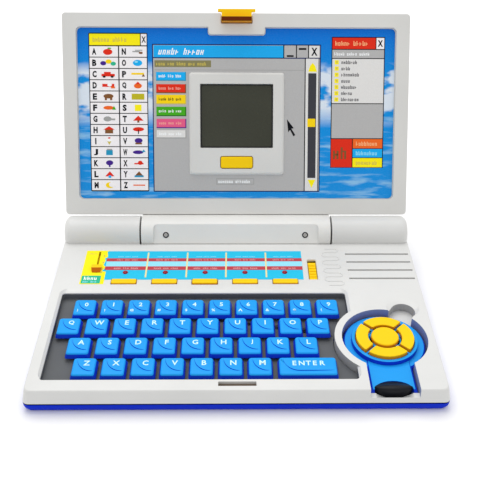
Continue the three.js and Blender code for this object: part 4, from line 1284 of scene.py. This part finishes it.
# Small pictures for the letter chart: each shape is a kind, an ink, a centre and two half sizes, in a
# cell that runs from -1 to 1. "o" is an oval, "b" a box, "t" a triangle that points up.
PICTURES = {
    "A": [("o", "red", 0, -0.1, 0.7, 0.7), ("o", "green", 0.25, 0.75, 0.3, 0.15)],
    "B": [
        ("o", "violet", -0.7, -0.1, 0.45, 0.5),
        ("o", "yellow_ink", 0.1, 0.3, 0.45, 0.5),
        ("o", "mint", 0.8, -0.2, 0.4, 0.45),
    ],
    "C": [
        ("b", "red", 0, -0.25, 1.0, 0.3),
        ("b", "red", -0.1, 0.2, 0.5, 0.3),
        ("o", "dark", -0.6, -0.6, 0.22, 0.25),
        ("o", "dark", 0.6, -0.6, 0.22, 0.25),
    ],
    "D": [
        ("b", "red", 0, 0, 0.9, 0.35),
        ("o", "white_ink", 0.2, 0.1, 0.35, 0.35),
        ("b", "orange", 0.7, -0.5, 0.3, 0.2),
    ],
    "E": [
        ("o", "brown", 0, 0.1, 0.75, 0.55),
        ("b", "brown", -0.4, -0.5, 0.16, 0.35),
        ("b", "brown", 0.4, -0.5, 0.16, 0.35),
    ],
    "F": [("o", "orange", 0, 0, 0.8, 0.45), ("t", "green", 0.8, 0, 0.3, 0.45)],
    "G": [("o", "panel_dark", -0.2, 0, 0.6, 0.6), ("b", "panel_dark", 0.6, -0.1, 0.35, 0.2)],
    "H": [("b", "brown", 0, -0.35, 0.6, 0.45), ("t", "red", 0, 0.5, 0.85, 0.4)],
    "I": [
        ("t", "gold", 0, -0.4, 0.35, -0.5),
        ("o", "white_ink", 0, 0.3, 0.45, 0.4),
        ("o", "red", 0, 0.75, 0.2, 0.18),
    ],
    "J": [("b", "sea", 0, -0.1, 0.5, 0.6), ("b", "panel_dark", 0, 0.65, 0.4, 0.15)],
    "K": [("o", "violet", 0, 0.1, 0.55, 0.6), ("b", "violet", 0, -0.6, 0.12, 0.3)],
    "L": [("t", "red", 0, 0.1, 0.7, 0.6), ("b", "cyan", 0, -0.6, 0.2, 0.3)],
    "M": [("o", "yellow_ink", 0, 0, 0.65, 0.7), ("o", "paper", 0.35, 0.15, 0.5, 0.6)],
    "N": [
        ("b", "panel_dark", -0.2, 0, 0.55, 0.14),
        ("b", "panel", 0.2, 0.3, 0.55, 0.14),
        ("o", "brown", 0.5, -0.3, 0.3, 0.25),
    ],
    "O": [("o", "cyan", 0, 0, 0.7, 0.72), ("o", "pale_cyan", -0.2, 0.25, 0.25, 0.22)],
    "P": [("b", "yellow_ink", 0, 0.1, 0.95, 0.22), ("t", "brown", 0.85, -0.25, 0.25, 0.3)],
    "Q": [("o", "orange", 0, -0.1, 0.6, 0.6), ("t", "red", 0, 0.6, 0.4, 0.3)],
    "R": [("b", "mustard", 0, 0, 0.95, 0.7)],
    "S": [("b", "lemon", 0, 0, 0.5, 0.75)],
    "T": [("t", "red", 0, 0.2, 0.8, 0.6), ("b", "brown", 0, -0.6, 0.15, 0.25)],
    "U": [("o", "red", 0, 0.2, 0.85, 0.5), ("b", "dark", 0, -0.4, 0.07, 0.5)],
    "V": [("o", "violet", 0, 0.15, 0.6, 0.6), ("b", "brown", 0, -0.55, 0.5, 0.2)],
    "W": [("o", "violet", -0.1, 0, 0.8, 0.45), ("t", "sea", 0.75, 0.35, 0.3, 0.3)],
    "X": [("b", "red", 0, -0.1, 0.7, 0.16), ("o", "red", 0.2, 0.1, 0.35, 0.5)],
    "Y": [("t", "brown", 0, 0.2, 0.6, 0.5), ("b", "sea", 0, -0.5, 0.7, 0.2)],
    "Z": [("b", "orange", 0, 0, 0.9, 0.14)],
}


def print_picture(label, letter, x, y, half_x, half_y):
    for layer, (kind, colour, px, py, across, along) in enumerate(PICTURES[letter], 4):
        cx, cy = x + px * half_x, y + py * half_y
        left, right = cx - across * half_x, cx + across * half_x
        low, high = cy - along * half_y, cy + along * half_y
        if kind == "o":
            label.shape(oval(cx, cy, across * half_x, along * half_y, 24), layer, colour)
        elif kind == "b":
            label.box(left, right, low, high, layer, colour)
        else:
            label.shape([(left, low), (right, low), (cx, high)], layer, colour)


def print_chart(label):
    label.boxes((-102.4, -61.7, 29.0, 138.3, 1, "dark", 0.8), (-101.8, -66.9, 129.9, 137.6, 2, "lemon"))
    label.writing(-99.5, 133.7, 24, 3.0, 3, "gold")
    label.box(-66.3, -62.3, 129.9, 137.6, 2, "paper")
    label.sign("X", -64.3, 133.8, 4.2, 3, "dark", 0.03, 3.0)
    for number, letter in enumerate(LETTERS):
        column, row = divmod(number, CHART_ROWS)
        left, right = CHART_COLUMNS[column]
        high = CHART_TOP - row * CHART_PITCH
        label.box(left, right, high - CHART_PITCH + 0.45, high - 0.15, 2, "paper")
        middle = high - CHART_PITCH / 2 + 0.15
        label.sign(letter, left + 3.2, middle, 4.4, 3, "dark", 0.05, 0.9 if letter == "I" else 2.9)
        print_picture(label, letter, left + 12.6, middle, 4.6, 2.9)


TITLE_BAR = ((-57.6, 32.4, 121.9, 130.0, 3, "title_cyan"), (-57.9, 57.9, 121.2, 121.9, 3, "navy_line"))
TITLE_BUTTONS = (
    (32.4, 33.1, 121.5, 130.3, 4, "dark"),
    (41.2, 41.9, 121.5, 130.3, 4, "dark"),
    (49.6, 50.3, 121.5, 130.3, 4, "dark"),
    (33.1, 41.2, 122.0, 129.9, 3, "panel"),
    (41.9, 49.6, 122.0, 129.9, 3, "panel"),
    (50.3, 57.5, 122.0, 129.9, 3, "panel_light"),
    (34.8, 39.6, 122.4, 123.6, 4, "dark"),
    (43.2, 48.4, 127.2, 128.5, 4, "dark"),
)
MENU_BUTTONS = (  # high, low, face, shadow, writing
    (111.8, 106.5, "cyan", "sea", "white_ink"),
    (103.5, 98.0, "red", "brown", "pink_light"),
    (96.2, 90.4, "yellow_ink", "gold", "dark"),
    (88.0, 82.2, "green", "dark_green", "white_ink"),
    (79.7, 73.9, "pink", "violet", "pink_light"),
    (71.8, 66.8, "panel_light", "panel_dark", "white_ink"),
)
SCROLL_BAR = (
    (47.4, 48.1, 29.5, 121.5, 3, "dark"),
    (57.0, 57.5, 29.5, 121.5, 3, "dark"),
    (48.1, 57.0, 29.5, 121.5, 3, "panel_light"),
    (49.9, 55.6, 38.6, 111.3, 4, "track", 0.3),
    (49.6, 55.1, 74.3, 80.0, 5, "yellow_ink", 0.4),
)
SCROLL_UP = [(49.9, 112.4), (55.9, 112.4), (54.6, 116.4), (52.9, 118.4), (51.2, 116.4)]
SCROLL_DOWN = [(50.2, 37.3), (52.9, 31.6), (55.6, 37.3)]
POINTER = [
    (36.2, 70.6), (37.5, 72.2), (39.8, 67.8), (41.2, 68.6), (38.4, 73.0), (40.1, 73.4), (35.2, 79.6),
]


def print_main_window(label):
    label.sheet(rounded(-58.6, 58.6, 28.8, 130.9, 0.4), BEZEL, 1, "navy_line")
    label.sheet(rounded(-57.9, 57.9, 29.5, 130.2, 0.2), BEZEL, 2, "panel")
    label.boxes(*TITLE_BAR)
    label.writing(-54.5, 125.9, 33, 4.4, 4, "white_ink", slant=0.25)
    label.boxes(*TITLE_BUTTONS)
    label.sign("X", 54.0, 126.0, 5.4, 4, "dark", 0.04, 4.2)
    label.box(-57.0, -17.8, 115.2, 119.8, 3, "olive")
    label.writing(-55.8, 117.5, 36, 2.4, 4, "gold", 5)
    label.box(-57.0, 46.8, 113.1, 113.5, 3, "panel_dark")
    for high, low, colour, shade, writing in MENU_BUTTONS:
        label.boxes((-56.0, -35.2, low - 0.7, high, 3, shade), (-56.0, -35.9, low, high, 4, colour))
        label.writing(-54.3, (low + high) / 2, 17.0, 2.0, 5, writing, 3)
    label.boxes(*SCROLL_BAR)
    label.shape(SCROLL_UP, 4, "lemon")
    label.shape(SCROLL_DOWN, 4, "lemon")
    label.shape(POINTER, 4, "dark")
    label.boxes((-14.4, 12.3, 33.9, 38.4, 3, "panel_dark"), (-13.9, 11.8, 34.4, 37.9, 4, "panel"))
    label.writing(-13.0, 36.1, 23, 2.3, 5, "white_ink")


LIST_LENGTHS = (11.5, 6.5, 13.5, 7.0, 12.5, 9.0, 13.0)
LIST_TOP = 118.9
LIST_PITCH = 4.25
RIGHT_BUTTONS = (  # high, low, face, writing
    (65.9, 59.5, "orange", "orange_light"),
    (59.0, 53.1, "cyan", "pale_cyan"),
    (52.6, 46.2, "lemon", "gold"),
)


def print_right_window(label):
    label.boxes((66.0, 103.2, 45.8, 136.2, 1, "dark"), (66.6, 96.6, 128.0, 135.6, 2, "red"))
    label.writing(68.5, 131.8, 24, 3.2, 3, "orange_light")
    label.box(97.2, 102.6, 128.0, 135.6, 2, "paper")
    label.sign("X", 99.9, 131.8, 4.4, 3, "dark", 0.04, 3.6)
    label.box(66.6, 102.6, 121.8, 127.4, 2, "panel")
    label.writing(68.0, 124.6, 26, 2.2, 3, "white_ink", 3)
    label.box(66.6, 102.6, 90.8, 121.2, 2, "panel_light")
    for row, length in enumerate(LIST_LENGTHS):
        y = LIST_TOP - row * LIST_PITCH
        label.box(68.3, 71.1, y - 1.5, y + 1.4, 3, "lemon", 0.3)
        label.box(69.2, 70.3, y - 0.5, y + 0.7, 4, "gold")
        label.writing(73.0, y, length, 2.4, 3, "track", 1)
    label.boxes((66.6, 102.6, 66.5, 90.2, 2, "panel"), (66.4, 81.2, 46.2, 65.9, 2, "red"))
    label.writing(67.9, 56.0, 12.4, 8.2, 3, "brown", 1)
    for high, low, colour, writing in RIGHT_BUTTONS:
        label.box(81.8, 102.6, low, high, 2, colour)
        label.writing(84.0, (low + high) / 2, 16.5, 2.9, 3, writing, 1)


# ------------------------------------------------------------------ screen

WINDOW = {"x": 25.4, "low": 59.6, "high": 103.7}  # the part of the panel that the bezel leaves open
GLASS = -2.1
EDGE_SHADOW_OUTER = (0.15, 2.4)  # inset from the window and corner radius
EDGE_SHADOW_INNER = (0.95, 1.8)


def add_screen():
    moulded("lcd_panel", 0.2, ["screen"], "lid", LID)
    # A dark ring round the inside of the window: painted shadow of the bezel's inner edges on the glass.
    rings = []
    for inset, corner in (EDGE_SHADOW_OUTER, EDGE_SHADOW_INNER):
        across = WINDOW["x"] - inset
        rings.append(rounded(-across, across, WINDOW["low"] + inset, WINDOW["high"] - inset, corner))
    bm = bmesh.new()
    film(bm, rings[0], rings[1:], GLASS + 0.01, GLASS + 0.06)
    add_piece("screen_edge_shadow", bm, LID, ["chip"], "lid")


add_camera()
make_materials()
add_studio()
add_shells()
add_screen()
add_keys()
add_lamps()
add_screws_and_feet()
add_grip()
add_latch_well()
add_speaker()
add_snake()
add_deck_label()
add_lid_label()
